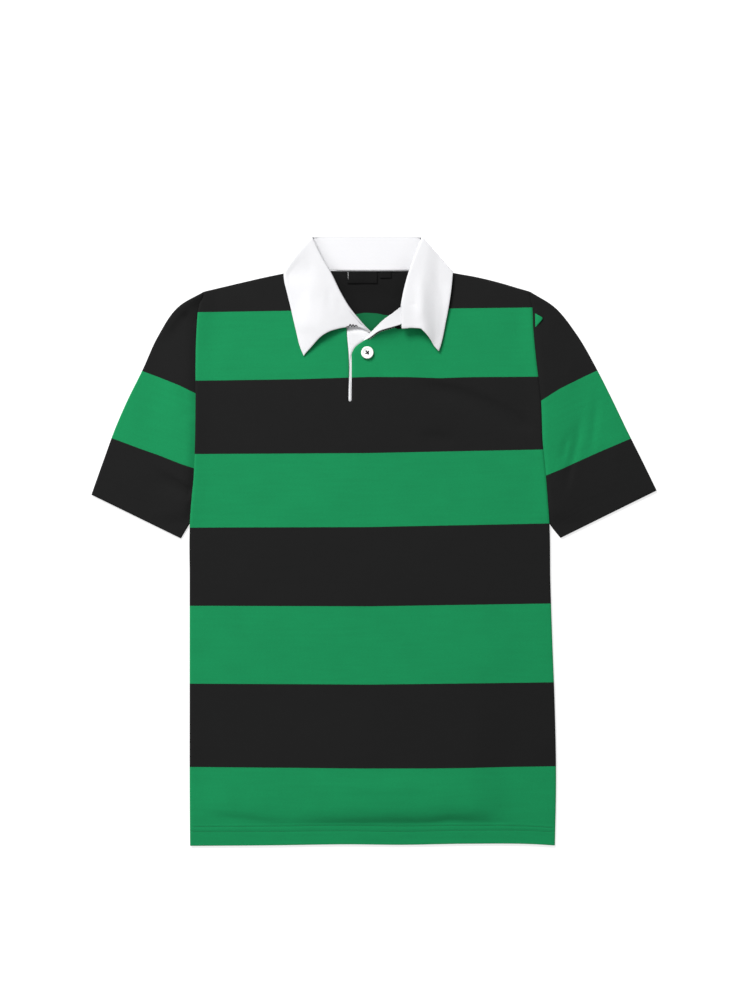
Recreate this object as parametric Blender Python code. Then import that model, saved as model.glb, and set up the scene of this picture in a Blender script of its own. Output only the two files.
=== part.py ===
# A short-sleeved rugby shirt laid flat on its back: neck towards +Y, front up, resting on Z = 0.
# It is made from the pieces its maker would sew: front, back, two sleeves, collar stand, collar leaf,
# under-placket, button and two small neck tabs. Left and right are the wearer's, so the wearer's
# right side lies at -X. Every table and size below is in millimetres.

import math

import bpy
import numpy as np

MM = 0.001

# Thickness of the cloths
JERSEY = 1.2
TWILL = 1.4
TAB = 1.0

# Between neighbouring pieces, and between stand and leaf, whose edges meet at a slant
GAP = 0.35
ROLL_GAP = 0.9

# Height of the middle of each flat layer over the surface
BACK_LEVEL = JERSEY / 2
FRONT_LEVEL = 3.9
SLEEVE_LEVEL = 3.3
LEAF_BACK_LEVEL = TWILL / 2
STAND_BACK_LEVEL = 2.45
STAND_FRONT_LEVEL = 4.95

# Where the back rises over the leaf under it: low x, high x, low y, and how far the slope reaches
LEAF_UNDER = (-124.0, 110.0, 347.0)
LEAF_SLOPE = 26.0

# Where the front rises over the placket and collar: middle x, half width, low y, slope, rise
NECK_MIDDLE = -5.0
NECK_HALF_WIDTH = 60.0
NECK_FROM_Y = 180.0
NECK_SLOPE = 70.0
NECK_RISE = 0.9

# The rounded edge where a front layer turns down to a back layer
EDGE_WIDTH = 1.6
EDGE_STEPS = ((0.0, 1.0), (0.06, 0.45), (1.0, 0.0))  # share of the width, share of the drop
SEAM_HALF_GAP = 0.41
ROLL_FADE = 16.0
SLEEVE_CORNER_SHIFT = 0.35  # outwards, where a sleeve's folded edges meet the body's corners

# Body outline: height, right edge, left edge. The armhole seams are its part above UNDERARM.
BODY_EDGES = (
    (-402.0, -243.0, 239.0),
    (-315.0, -243.5, 240.5),
    (-209.0, -243.5, 238.5),
    (-130.0, -243.5, 235.5),
    (-51.0, -243.5, 233.0),
    (22.0, -243.3, 231.8),
    (55.0, -241.0, 229.5),
    (81.0, -238.5, 227.5),
    (134.0, -236.3, 222.5),
    (187.0, -235.6, 220.5),
    (240.0, -235.6, 213.2),
    (279.0, -234.3, 209.5),
    (311.0, -231.0, 208.2),
    (330.0, -224.4, 205.9),
)
UNDERARM = 22.0
SHOULDER_TIP = 330.0

# Hem line: x, y
HEM = ((-243, -402), (-137, -401.3), (-32, -398.8), (123, -398.8), (219, -400.2), (239, -401.5))

# Shoulder seams, from armhole to neck: x, y
SHOULDER_RIGHT = ((-224.4, 330.0), (-176.9, 341.3), (-143.9, 348.9), (-120.0, 353.8), (-97.7, 358.4))
SHOULDER_LEFT = (
    (205.9, 330.0),
    (191.4, 334.2),
    (165.0, 342.0),
    (133.3, 349.6),
    (105.6, 354.5),
    (84.5, 359.0),
)

# Placket slit: its foot and its two sides up to the neck, x, y
SLIT_FOOT_Y = 187.0
SLIT_FOOT = (-31.7, 184.3)
SLIT_RIGHT = ((-34.3, 187.0), (-34.3, 250.0), (-35.0, 259.4), (-37.0, 279.2))
SLIT_LEFT = ((-29.0, 187.0), (-29.0, 247.5))

# Neck seam of the front, from the slit to the shoulder: x, y
NECK_RIGHT = ((-37.0, 279.2), (-50.0, 288.5), (-66.0, 304.5), (-82.0, 328.0), (-97.7, 358.4))
FLAP_NECK = (
    (-29.0, 247.5),
    (-25.1, 255.4),
    (-14.5, 263.3),
    (-4.0, 269.9),
    (7.9, 277.2),
    (19.8, 281.8),
    (34.3, 286.4),
)
NECK_LEFT = ((34.3, 286.4), (52.0, 296.0), (68.0, 313.0), (79.0, 337.0), (84.5, 359.0))

# Where the stand's seam meets the shoulder fold on each side
FOLD_SEAM_RIGHT = (-95.6, 358.9)
FOLD_SEAM_LEFT = (82.6, 359.4)

# Neck seam of the back: x, y
NECK_BACK = ((-97.7, 358.4), (-58.0, 357.2), (0.0, 356.8), (45.0, 357.2), (84.5, 359.0))

# Sleeve edges from armhole to cuff: overarm x, overarm y, underarm x, underarm y
SLEEVE_RIGHT = (
    (-224.4, 330.0, -243.3, 24.0),
    (-257.8, 310.3, -244.6, 22.0),
    (-285.0, 271.3, -246.6, 18.6),
    (-305.4, 227.0, -248.6, 15.2),
    (-325.4, 186.8, -250.4, 12.0),
    (-341.5, 150.0, -252.0, 9.2),
    (-357.1, 107.6, -253.4, 6.8),
    (-373.3, 62.3, -254.8, 4.4),
)
SLEEVE_LEFT = (
    (205.9, 330.0, 232.0, 23.5),
    (238.4, 309.5, 234.4, 20.2),
    (266.4, 275.2, 237.0, 16.4),
    (295.3, 225.3, 239.4, 13.4),
    (314.8, 186.8, 241.4, 10.8),
    (334.0, 147.0, 243.2, 8.6),
    (353.8, 107.6, 244.8, 6.6),
    (373.3, 67.8, 246.2, 5.1),
)

# Collar leaf, each side of the front: the roll line from its front end to the shoulder fold, the outer
# edge from the point to the fold, and the front edge from the roll line to the point: x, y
ROLL_RIGHT = ((-22.0, 295.0), (-33.0, 310.9), (-46.9, 334.6), (-58.1, 358.4), (-81.2, 402.6))
ROLL_LEFT = ((34.3, 310.9), (37.0, 326.7), (40.9, 342.5), (45.5, 358.4), (62.8, 402.6))
OUTER_RIGHT = ((-92.4, 245.5), (-101.0, 271.3), (-108.9, 302.9), (-116.6, 331.0), (-120.2, 356.7))
OUTER_LEFT = ((85.1, 251.5), (91.1, 271.3), (97.0, 302.9), (101.6, 334.6), (106.2, 357.6))
FRONT_RIGHT_END = (-22.4, 283.8)
FRONT_RIGHT_EDGE = (
    (-22.4, 283.8),
    (-35.6, 280.5),
    (-56.1, 279.2),
    (-70.0, 271.3),
    (-79.2, 263.3),
    (-92.4, 245.5),
)
FRONT_LEFT_END = (36.3, 280.5)
FRONT_LEFT_EDGE = ((36.3, 280.5), (62.0, 281.2))
FRONT_LEFT_POINT = ((62.0, 281.2), (71.3, 271.3), (82.5, 255.4), (85.1, 251.5))
OUTER_BACK = ((-60.0, 350.8), (0.0, 349.2), (48.0, 350.8))
ROLL_BACK_Y = 402.0
BACK_CORNER = 30.0  # over this distance the back roll line swings out from each fold

# Heights along the front of the collar, from its front end to the shoulder fold:
# stand at the roll line, leaf at the roll line, leaf at its outer edge
RISE = ((6.0, 8.8, 7.0), (7.4, 10.2, 7.2), (7.6, 10.2, 7.3), (7.2, 9.6, 7.4), (6.5, 9.0, 7.4))
STAND_BACK_ROLL = 4.4
FRONT_EDGE_LIFT = 2.4
ROLL_BULGE_FRONT = 1.5
ROLL_BULGE_BACK = 2.0

# How early along the front the roll's way and its fold take over, below 0 being before the front end
WAY_FROM = -0.6
FOLD_FROM = -2.0

# The stand's free ends, past the leaf: seam x, y, z, then upper edge x, y, z, from end to leaf
STAND_END_RIGHT = (
    (-8.0, 261.6, 3.15, -1.0, 274.0, 3.2),
    (-21.0, 269.0, 3.2, -8.0, 280.5, 3.7),
    (-31.0, 275.4, 3.5, -16.0, 288.2, 5.0),
)
STAND_END_LEFT = (
    (-12.4, 265.6, 5.15, -11.0, 269.5, 5.5),
    (-3.7, 270.9, 5.15, -2.0, 278.4, 6.2),
    (7.9, 278.0, 5.1, 8.6, 289.7, 6.6),
    (20.9, 282.9, 5.1, 20.6, 300.8, 6.6),
)

# Under-placket: y, right edge, left edge, from its foot to its slanted top
PLACKET = (
    (182.0, -41.5, -4.0),
    (200.0, -42.0, -4.0),
    (235.0, -42.0, -4.0),
    (257.0, -42.5, -4.0),
    (275.2, -43.0, -4.0),
)
PLACKET_TOP_SLOPE = -0.53
PLACKET_TOP_FROM_X = -37.0
PLACKET_TOP_SHARE = (0, 0, 0, 0.5, 1)  # how much of the slant each row takes
PLACKET_BELOW = JERSEY / 2 + GAP + JERSEY / 2

# Button
BUTTON_AT = (-8.8, 249.2)
BUTTON_HEIGHT = 2.8
BUTTON_HOLE = 0.9
BUTTON_HOLE_SPREAD = 1.9
# Its half profile: radius, height
BUTTON_PROFILE = ((0, 0), (6.8, 0), (8.2, 1.0), (8.2, 2.1), (7.4, 2.8), (5.9, 2.8), (4.9, 2.0), (0, 2.0))
BUTTON_SIDES = 28
HOLE_SIDES = 10

# Neck tabs on the inside of the back: low x, high x, low y, high y
LABEL = (-35.0, 4.0, 341.0, 356.0)
SIZE_TAB = (8.0, 22.5, 348.0, 356.0)
TAB_GAP = 0.4

# Grid steps
SIDE_ROWS = 8
ARMHOLE_ROWS = 4
SLIT_ROWS_RIGHT = 5
SLIT_ROWS_LEFT = 2
FLAP_ROWS = 5
NECK_ROWS_RIGHT = 7
NECK_ROWS_LEFT = 5
YOKE_ROWS = SLIT_ROWS_RIGHT + NECK_ROWS_RIGHT
RIGHT_COLUMNS = 7
LEFT_COLUMNS = 8
BACK_NECK_COLUMNS = 5
SLEEVE_ROWS = 7
ARC_STEPS = 4
LEAF_STEPS = 7
LEAF_END_STEPS = 2
BACK_STEPS = 6
STAND_STEPS = 3
PLACKET_STEPS = 4
TAB_STEPS = (3, 2)
TURN_ANGLES = (45.0, 0.0, -45.0)

# Colours, linear
GREEN = (0.013, 0.258, 0.093, 1.0)
WHITE = (0.86, 0.86, 0.87, 1.0)
BLACK = (0.012, 0.012, 0.012, 1.0)
PEARL = (0.8, 0.82, 0.8, 1.0)


# ---------------------------------------------------------------- curves and grids


def through(keys, values, at):
    """The smooth curve through values given at keys, read at other keys."""
    keys = np.asarray(keys, float)
    values = np.asarray(values, float)
    at = np.asarray(at, float)
    slopes = np.gradient(values, keys, axis=0)
    low = np.clip(np.searchsorted(keys, at, side="right") - 1, 0, len(keys) - 2)
    span = np.diff(keys)[low][:, None]
    u = (at - keys[low])[:, None] / span
    start = (2 * u**3 - 3 * u**2 + 1) * values[low] + (u**3 - 2 * u**2 + u) * span * slopes[low]
    end = (3 * u**2 - 2 * u**3) * values[low + 1] + (u**3 - u**2) * span * slopes[low + 1]
    return start + end


def along(points, steps):
    """Evenly spaced points of the smooth curve through a table's points."""
    rows = np.asarray(points, float)
    lengths = np.linalg.norm(np.diff(rows[:, :2], axis=0), axis=1)
    chord = np.concatenate([[0.0], np.cumsum(lengths)])
    return through(chord, rows, np.linspace(0, chord[-1], steps + 1))


def chain(*runs):
    """Smooth runs end to end with a corner between them, each given with its number of steps."""
    parts = [along(points, steps) for points, steps in runs]
    return np.concatenate([part[:-1] for part in parts[:-1]] + [parts[-1]])


def patch(bottom, top, left, right):
    """The grid that fills four edges: rows run from bottom to top, columns from left to right."""
    v = np.linspace(0, 1, len(left))[:, None, None]
    u = np.linspace(0, 1, len(bottom))[None, :, None]
    ruled_up = (1 - v) * bottom[None] + v * top[None]
    ruled_across = (1 - u) * left[:, None] + u * right[:, None]
    low = (1 - u) * bottom[0] + u * bottom[-1]
    high = (1 - u) * top[0] + u * top[-1]
    return ruled_up + ruled_across - (1 - v) * low - v * high


def smoothstep(x):
    x = np.clip(x, 0, 1)
    return x * x * (3 - 2 * x)


def with_drop(grid):
    """Adds a third number to each point: how far down a rounded edge it lies, from 0 to 1."""
    return np.concatenate([grid, np.zeros(grid.shape[:2] + (1,))], axis=2)


def round_edge(grid, side, weight=None):
    """Adds the narrow columns (or rows) that turn an edge down. weight fades the turn along it."""
    turned = {"left": grid, "right": grid[:, ::-1], "top": np.swapaxes(grid[::-1], 0, 1)}[side]
    first = turned[:, 0]
    second = turned[:, 1]
    way = second - first
    way = way / np.linalg.norm(way[:, :2], axis=1)[:, None]
    weight = np.ones(len(first)) if weight is None else weight
    strips = []
    for share, drop in EDGE_STEPS:
        column = first + way * EDGE_WIDTH * share
        column[:, 2] = np.maximum(first[:, 2], drop * weight)
        strips.append(column)
    turned = np.concatenate([np.stack(strips, axis=1), turned[:, 1:]], axis=1)
    return {"left": turned, "right": turned[:, ::-1], "top": np.swapaxes(turned, 0, 1)[::-1]}[side]


def unit(vectors):
    return vectors / np.linalg.norm(vectors, axis=-1, keepdims=True)


def sideways(path, side):
    """Unit vectors square to a path, on its left (side 1) or on its right (side -1)."""
    way = unit(np.gradient(path[:, :2], axis=0))
    return side * np.stack([-way[:, 1], way[:, 0]], axis=1)


# ---------------------------------------------------------------- heights of the layers


def back_level(x, y):
    """The back lies on the surface and rises over the collar leaf folded under its neck."""
    low_x, high_x, low_y = LEAF_UNDER
    beyond = np.maximum(np.maximum(low_x - x, x - high_x), 0)
    away = np.hypot(beyond, np.maximum(low_y - y, 0))
    return BACK_LEVEL + (LEAF_BACK_LEVEL * 2 + GAP) * smoothstep(1 - away / LEAF_SLOPE)


def front_level(x, y):
    """The front lies over the back and rises towards the neck, where the placket lies under it."""
    aside = np.maximum(np.abs(x - NECK_MIDDLE) - NECK_HALF_WIDTH, 0)
    away = np.hypot(aside, np.maximum(NECK_FROM_Y - y, 0))
    return FRONT_LEVEL + NECK_RISE * smoothstep(1 - away / NECK_SLOPE)


def front_height(grid):
    x, y, drop = np.moveaxis(grid, 2, 0)
    level = front_level(x, y)
    seam = (level + back_level(x, y)) / 2 + SEAM_HALF_GAP
    return np.stack([x, y, level + (seam - level) * drop], axis=2)


def back_height(grid):
    x, y, drop = np.moveaxis(grid, 2, 0)
    level = back_level(x, y)
    seam = (level + front_level(x, y)) / 2 - SEAM_HALF_GAP
    return np.stack([x, y, level + (seam - level) * drop], axis=2)


# ---------------------------------------------------------------- outlines shared by neighbours


def side_weight(y):
    """1 where the side seam turns down, fading to 0 at the underarm, where the sleeve carries on."""
    return smoothstep((UNDERARM - y) / ROLL_FADE)


def body_edge(y, column):
    """Points of the body's edge at heights y, inside the outline by the rounding or the seam gap."""
    y = np.asarray(y, float)
    table = np.array(BODY_EDGES)
    x = through(table[:, 0], table[:, 1:], y)[:, column]
    inset = GAP / 2 + (JERSEY / 2 - GAP / 2) * side_weight(y)
    return np.stack([x + (inset if column == 0 else -inset), y], axis=1)


def hem_row(fractions):
    x = HEM[0][0] + JERSEY / 2 + (HEM[-1][0] - HEM[0][0] - JERSEY) * np.asarray(fractions)
    table = np.array(HEM, float)
    y = through(table[:, 0], table[:, 1:], x)[:, 0]
    return np.stack([x, y], axis=1)


SIDE_Y = np.concatenate(
    [
        np.linspace(BODY_EDGES[0][0], UNDERARM - ROLL_FADE, SIDE_ROWS)[:-1],
        [UNDERARM - ROLL_FADE, UNDERARM - ROLL_FADE / 2],
        np.linspace(UNDERARM, SLIT_FOOT_Y, ARMHOLE_ROWS + 1),
    ]
)
YOKE_Y = np.linspace(SLIT_FOOT_Y, SHOULDER_TIP, YOKE_ROWS + 1)


def below_shoulder(points, steps):
    """A shoulder seam's points, inside its outline by half the cloth."""
    rows = along(points, steps)
    rows[:, 1] -= JERSEY / 2
    return rows


# ---------------------------------------------------------------- the cut pieces


def front_grids():
    """The front in three patches: below the slit, and each side of it up to the shoulder."""
    edge_right = body_edge(SIDE_Y, 0)
    edge_left = body_edge(SIDE_Y, 1)
    right_x = np.linspace(edge_right[-1, 0], SLIT_RIGHT[0][0], RIGHT_COLUMNS + 1)
    left_x = np.linspace(SLIT_LEFT[0][0], edge_left[-1, 0], LEFT_COLUMNS + 1)
    split_x = np.concatenate([right_x, [SLIT_FOOT[0]], left_x])
    split = np.stack([split_x, np.full(len(split_x), SLIT_FOOT_Y)], axis=1)
    split[RIGHT_COLUMNS + 1, 1] = SLIT_FOOT[1]
    fractions = (split_x - split_x[0]) / (split_x[-1] - split_x[0])
    hem = hem_row(fractions)
    edge_right[0] = hem[0]
    edge_left[0] = hem[-1]
    lower = with_drop(patch(hem, split, edge_right, edge_left))
    lower = round_edge(lower, "left", side_weight(SIDE_Y))
    lower = round_edge(lower, "right", side_weight(SIDE_Y))

    armhole = body_edge(YOKE_Y, 0)
    shoulder = below_shoulder(SHOULDER_RIGHT, RIGHT_COLUMNS)
    shoulder[0] = armhole[-1] = (armhole[-1, 0], shoulder[0, 1])
    neck = chain((SLIT_RIGHT, SLIT_ROWS_RIGHT), (NECK_RIGHT, NECK_ROWS_RIGHT))
    neck[-1] = shoulder[-1]
    right = with_drop(patch(split[: RIGHT_COLUMNS + 1], shoulder, armhole, neck))
    right = round_edge(round_edge(right, "top"), "left", np.zeros(YOKE_ROWS + len(EDGE_STEPS)))

    armhole = body_edge(YOKE_Y, 1)
    shoulder = below_shoulder(SHOULDER_LEFT[::-1], LEFT_COLUMNS)
    shoulder[-1] = armhole[-1] = (armhole[-1, 0], shoulder[-1, 1])
    neck = chain((SLIT_LEFT, SLIT_ROWS_LEFT), (FLAP_NECK, FLAP_ROWS), (NECK_LEFT, NECK_ROWS_LEFT))
    neck[-1] = shoulder[0]
    left = with_drop(patch(split[RIGHT_COLUMNS + 2 :], shoulder, neck, armhole))
    left = round_edge(round_edge(left, "top"), "right", np.zeros(YOKE_ROWS + len(EDGE_STEPS)))
    return [front_height(grid) for grid in (lower, right, left)]


def back_grids():
    """The back in two patches that meet at the height of the slit's foot."""
    edge_right = body_edge(SIDE_Y, 0)
    edge_left = body_edge(SIDE_Y, 1)
    fractions = np.linspace(0, 1, RIGHT_COLUMNS + BACK_NECK_COLUMNS + LEFT_COLUMNS + 1)
    split = edge_right[-1] + (edge_left[-1] - edge_right[-1]) * fractions[:, None]
    hem = hem_row(fractions)
    edge_right[0] = hem[0]
    edge_left[0] = hem[-1]
    lower = with_drop(patch(hem, split, edge_right, edge_left))
    lower = round_edge(lower, "left", side_weight(SIDE_Y))
    lower = round_edge(lower, "right", side_weight(SIDE_Y))

    armhole_right = body_edge(YOKE_Y, 0)
    armhole_left = body_edge(YOKE_Y, 1)
    top = chain(
        (SHOULDER_RIGHT, RIGHT_COLUMNS),
        (NECK_BACK, BACK_NECK_COLUMNS),
        (SHOULDER_LEFT[::-1], LEFT_COLUMNS),
    )
    top[:, 1] -= JERSEY / 2
    top[0, 0] = armhole_right[-1, 0]
    top[-1, 0] = armhole_left[-1, 0]
    armhole_right[-1] = top[0]
    armhole_left[-1] = top[-1]
    upper = with_drop(patch(split, top, armhole_right, armhole_left))
    shoulder = np.ones(len(top))
    shoulder[RIGHT_COLUMNS + 1 : -LEFT_COLUMNS - 1] = 0
    upper = round_edge(upper, "top", shoulder)
    none = np.zeros(len(upper))
    upper = round_edge(round_edge(upper, "left", none), "right", none)
    return [back_height(grid) for grid in (lower, upper)]


def sleeve_grids(table, column):
    """A sleeve's two layers, which share their edges at mid-height and so make one tube."""
    edges = along(table, SLEEVE_ROWS)
    armhole_y = np.concatenate([SIDE_Y[SIDE_Y >= UNDERARM][:-1], YOKE_Y])
    armhole = body_edge(armhole_y, column)
    outward = -1 if column == 0 else 1
    armhole[:, 0] += outward * GAP
    armhole[[0, -1], 0] += outward * SLEEVE_CORNER_SHIFT
    armhole[0, 1] = table[0][3] + JERSEY / 2
    armhole[-1, 1] = table[0][1] - JERSEY / 2
    over = edges[:, :2].copy()
    under = edges[:, 2:].copy()
    across = unit(over - under)
    over -= across * JERSEY / 2
    under += across * JERSEY / 2
    over[0] = armhole[-1]
    under[0] = armhole[0]
    cuff = under[-1] + (over[-1] - under[-1]) * np.linspace(0, 1, len(armhole))[:, None]
    grid = with_drop(patch(armhole, cuff, under, over))
    grid = round_edge(round_edge(grid, "left"), "right")
    x, y, drop = np.moveaxis(grid, 2, 0)
    middle = (SLEEVE_LEVEL + BACK_LEVEL) / 2
    front = np.stack([x, y, SLEEVE_LEVEL + (middle - SLEEVE_LEVEL) * drop], axis=2)
    back = np.stack([x, y, BACK_LEVEL + (middle - BACK_LEVEL) * drop], axis=2)
    return [front, back[:, ::-1]]


# ---------------------------------------------------------------- the collar


def rolled_over(centre, way, bulge, stand_z, leaf_z):
    """The half turn from the stand over the roll line to the leaf, at each station of the collar."""
    angles = np.radians(np.linspace(-90, 90, ARC_STEPS + 1))[None, :, None]
    flat = centre[:, None] + way[:, None] * bulge * np.cos(angles)
    z = (leaf_z + stand_z)[:, None, None] / 2 + (leaf_z - stand_z)[:, None, None] / 2 * np.sin(angles)
    return np.concatenate([flat, z], axis=2)


def turned(front_row, back_row, outward):
    """The rows that carry the cloth round a flattened fold, from its front layer to its back layer."""
    middle = (front_row + back_row) / 2
    half = (front_row[:, 2] - back_row[:, 2]) / 2
    rows = []
    for angle in np.radians(TURN_ANGLES):
        row = middle.copy()
        row[:, :2] += half[:, None] * math.cos(angle) * outward
        row[:, 2] += half * math.sin(angle)
        rows.append(row)
    return np.array(rows)


def collar_front(roll, outer, front_edge, neck, neck_side, steps):
    """One front of the collar, from its front end to the shoulder fold: rows of stand and of leaf."""
    roll = along(roll, steps)
    outer = along(outer, steps)
    rise = along([(i, 0, *row) for i, row in enumerate(RISE)], steps)[:, 2:]
    stand_z, leaf_z, outer_z = rise.T
    fold_way = unit(roll[-1] - outer[-1])
    inward = sideways(np.array([outer[-1], roll[-1]]), neck_side)[0]
    share = smoothstep(np.linspace(WAY_FROM, 1, steps + 1))[:, None]
    way = unit((1 - share) * sideways(roll, neck_side) + share * fold_way)
    centre = roll - way * (ROLL_BULGE_FRONT + TWILL / 2)
    fade = smoothstep(np.linspace(FOLD_FROM, 1, steps + 1))[:, None]
    centre += fade * inward * ((leaf_z[-1] - LEAF_BACK_LEVEL) / 2 + TWILL / 2)
    outer = outer + fade * inward * ((outer_z[-1] - LEAF_BACK_LEVEL) / 2 + TWILL / 2)

    w = np.linspace(0, 1, LEAF_STEPS + 1)
    front_edge[0] = centre[0]
    fold = centre[-1] + (outer[-1] - centre[-1]) * w[:, None]
    flat = patch(front_edge, fold, centre, outer)
    t = np.linspace(0, 1, steps + 1)[:, None]
    z = leaf_z[:, None] * (1 - w) + outer_z[:, None] * w + FRONT_EDGE_LIFT * (1 - t) * np.sin(np.pi * w)
    flat = np.concatenate([flat, z[:, :, None]], axis=2)
    arc = rolled_over(centre, way, ROLL_BULGE_FRONT, stand_z, leaf_z)
    leaf = np.concatenate([arc, flat[:, 1:]], axis=1)

    seam = neck + sideways(neck, neck_side) * GAP
    top = centre - way * ROLL_GAP
    s = np.linspace(0, 1, STAND_STEPS + 1)[None, :, None]
    seam = np.concatenate([seam, np.full((len(seam), 1), STAND_FRONT_LEVEL)], axis=1)
    top = np.concatenate([top, stand_z[:, None]], axis=1)
    stand = seam[:, None] * (1 - s) + top[:, None] * s
    return stand, leaf, inward


def collar_back(right, left):
    """The back of the collar between its two folds: the stand lies on the leaf, which lies flat."""
    stand_right, leaf_right = right
    stand_left, leaf_left = left
    fold_right = leaf_right[-1, ARC_STEPS:, :2]
    fold_left = leaf_left[-1, ARC_STEPS:, :2]
    centre_y = ROLL_BACK_Y - ROLL_BULGE_BACK - TWILL / 2
    x = np.linspace(fold_right[0, 0], fold_left[0, 0], BACK_STEPS + 1)
    share = smoothstep(np.minimum(x - x[0], x[-1] - x) / BACK_CORNER)[:, None]
    corner_y = np.where(x < 0, fold_right[0, 1], fold_left[0, 1])
    y = corner_y + (centre_y - corner_y) * share[:, 0]
    centre = np.stack([x, y], axis=1)
    outer = along([fold_right[-1], *OUTER_BACK, fold_left[-1]], BACK_STEPS)
    flat = patch(outer, centre, fold_right[::-1], fold_left[::-1])
    flat = with_drop(np.swapaxes(flat[::-1], 0, 1))
    flat[:, :, 2] = LEAF_BACK_LEVEL
    way_right = unit(fold_right[0] - fold_right[-1])
    way_left = unit(fold_left[0] - fold_left[-1])
    end_way = np.where(x[:, None] < 0, way_right, way_left)
    way = unit(end_way * (1 - share) + np.array([0.0, 1.0]) * share)
    bulge = (ROLL_BULGE_FRONT + (ROLL_BULGE_BACK - ROLL_BULGE_FRONT) * share)[:, :, None]
    low = np.full(BACK_STEPS + 1, LEAF_BACK_LEVEL)
    high = np.full(BACK_STEPS + 1, STAND_BACK_ROLL)
    arc = rolled_over(centre, way, bulge, high, low)
    leaf = np.concatenate([arc, flat[:, 1:]], axis=1)

    seam = along(NECK_BACK, BACK_STEPS)
    seam[:, 1] += GAP
    seam[0] = stand_right[-1, 0, :2]
    seam[-1] = stand_left[-1, 0, :2]
    top = centre - way * ROLL_GAP
    seam = np.concatenate([seam, np.full((len(seam), 1), STAND_BACK_LEVEL)], axis=1)
    top = np.concatenate([top, high[:, None]], axis=1)
    s = np.linspace(0, 1, STAND_STEPS + 1)[None, :, None]
    stand = seam[:, None] * (1 - s) + top[:, None] * s
    return stand, leaf


def free_end(table):
    """The stand's rows past the leaf, where its upper edge is bare."""
    rows = np.array(table)
    s = np.linspace(0, 1, STAND_STEPS + 1)[None, :, None]
    return rows[:, None, :3] * (1 - s) + rows[:, None, 3:] * s


def collar_grids():
    """Stand and leaf as one row of stations from the right front end round the back to the left."""
    front_edge = chain(
        ((ROLL_RIGHT[0], FRONT_RIGHT_END), 1),
        (FRONT_RIGHT_EDGE, LEAF_STEPS - 1),
    )
    neck = along(NECK_RIGHT, NECK_ROWS_RIGHT)
    neck[-1] = FOLD_SEAM_RIGHT
    stand_r, leaf_r, in_right = collar_front(ROLL_RIGHT, OUTER_RIGHT, front_edge, neck, -1, NECK_ROWS_RIGHT)
    front_edge = chain(
        ((ROLL_LEFT[0], FRONT_LEFT_END), LEAF_END_STEPS),
        (FRONT_LEFT_EDGE, LEAF_END_STEPS),
        (FRONT_LEFT_POINT, LEAF_STEPS - 2 * LEAF_END_STEPS),
    )
    neck = along(NECK_LEFT, NECK_ROWS_LEFT)
    neck[-1] = FOLD_SEAM_LEFT
    stand_l, leaf_l, in_left = collar_front(ROLL_LEFT, OUTER_LEFT, front_edge, neck, 1, NECK_ROWS_LEFT)
    stand_b, leaf_b = collar_back((stand_r, leaf_r), (stand_l, leaf_l))
    stand_turn_r = turned(stand_r[-1], stand_b[0], -in_right)
    stand_turn_l = turned(stand_l[-1], stand_b[-1], -in_left)[::-1]
    leaf_turn_r = turned(leaf_r[-1], leaf_b[0], -in_right)
    leaf_turn_l = turned(leaf_l[-1], leaf_b[-1], -in_left)[::-1]
    stand = np.concatenate(
        [
            free_end(STAND_END_RIGHT),
            stand_r,
            stand_turn_r,
            stand_b,
            stand_turn_l,
            stand_l[::-1],
            free_end(STAND_END_LEFT)[::-1],
        ]
    )
    leaf = np.concatenate([leaf_r, leaf_turn_r, leaf_b, leaf_turn_l, leaf_l[::-1]])
    return stand, leaf


# ---------------------------------------------------------------- small pieces


def placket_grid():
    """The strip under the slit. Its top edge slants along the stand's free end."""
    table = np.array(PLACKET)
    share = np.linspace(0, 1, PLACKET_STEPS + 1)
    x = table[:, 1:2] + (table[:, 2:3] - table[:, 1:2]) * share
    slant = np.array(PLACKET_TOP_SHARE)[:, None] * PLACKET_TOP_SLOPE
    y = table[:, :1] + slant * np.maximum(x - PLACKET_TOP_FROM_X, 0)
    z = front_level(x, y) - PLACKET_BELOW
    return np.stack([x, y, z], axis=2)


def tab_grid(sizes):
    """A small woven tab on the inside of the back."""
    low_x, high_x, low_y, high_y = sizes
    x = np.linspace(low_x, high_x, TAB_STEPS[0] + 1)
    y = np.linspace(low_y, high_y, TAB_STEPS[1] + 1)
    across, up = np.meshgrid(x, y)
    level = back_level(across, up) + JERSEY / 2 + TAB_GAP + TAB / 2
    return np.stack([across, up, level], axis=2)


# ---------------------------------------------------------------- objects


def material(name, colour, roughness):
    made = bpy.data.materials.new(name)
    made.use_nodes = True
    shader = made.node_tree.nodes["Principled BSDF"]
    shader.inputs["Base Color"].default_value = colour
    shader.inputs["Roughness"].default_value = roughness
    shader.inputs["Metallic"].default_value = 0.0
    return made


def placed(name, mesh, colour, roughness):
    mesh.materials.append(material(name, colour, roughness))
    mesh.shade_smooth()
    made = bpy.data.objects.new(name, mesh)
    bpy.context.scene.collection.objects.link(made)
    return made


def cloth(name, grids, thickness, colour, roughness=0.85):
    """A sheet of cloth: the grids give its middle surface, and Solidify makes its wall."""
    points = {}
    faces = []
    for grid in grids:
        rows, columns = grid.shape[:2]
        index = [[0] * columns for _ in range(rows)]
        for i in range(rows):
            for j in range(columns):
                key = tuple(np.round(grid[i, j], 3))
                index[i][j] = points.setdefault(key, len(points))
        for i in range(rows - 1):
            for j in range(columns - 1):
                faces.append((index[i][j], index[i][j + 1], index[i + 1][j + 1], index[i + 1][j]))
    mesh = bpy.data.meshes.new(name)
    mesh.from_pydata([tuple(MM * c for c in point) for point in points], [], faces)
    made = placed(name, mesh, colour, roughness)
    wall = made.modifiers.new("Wall", "SOLIDIFY")
    wall.thickness = thickness * MM
    wall.offset = 0
    wall.use_even_offset = True
    wall.use_quality_normals = True
    return made


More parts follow.
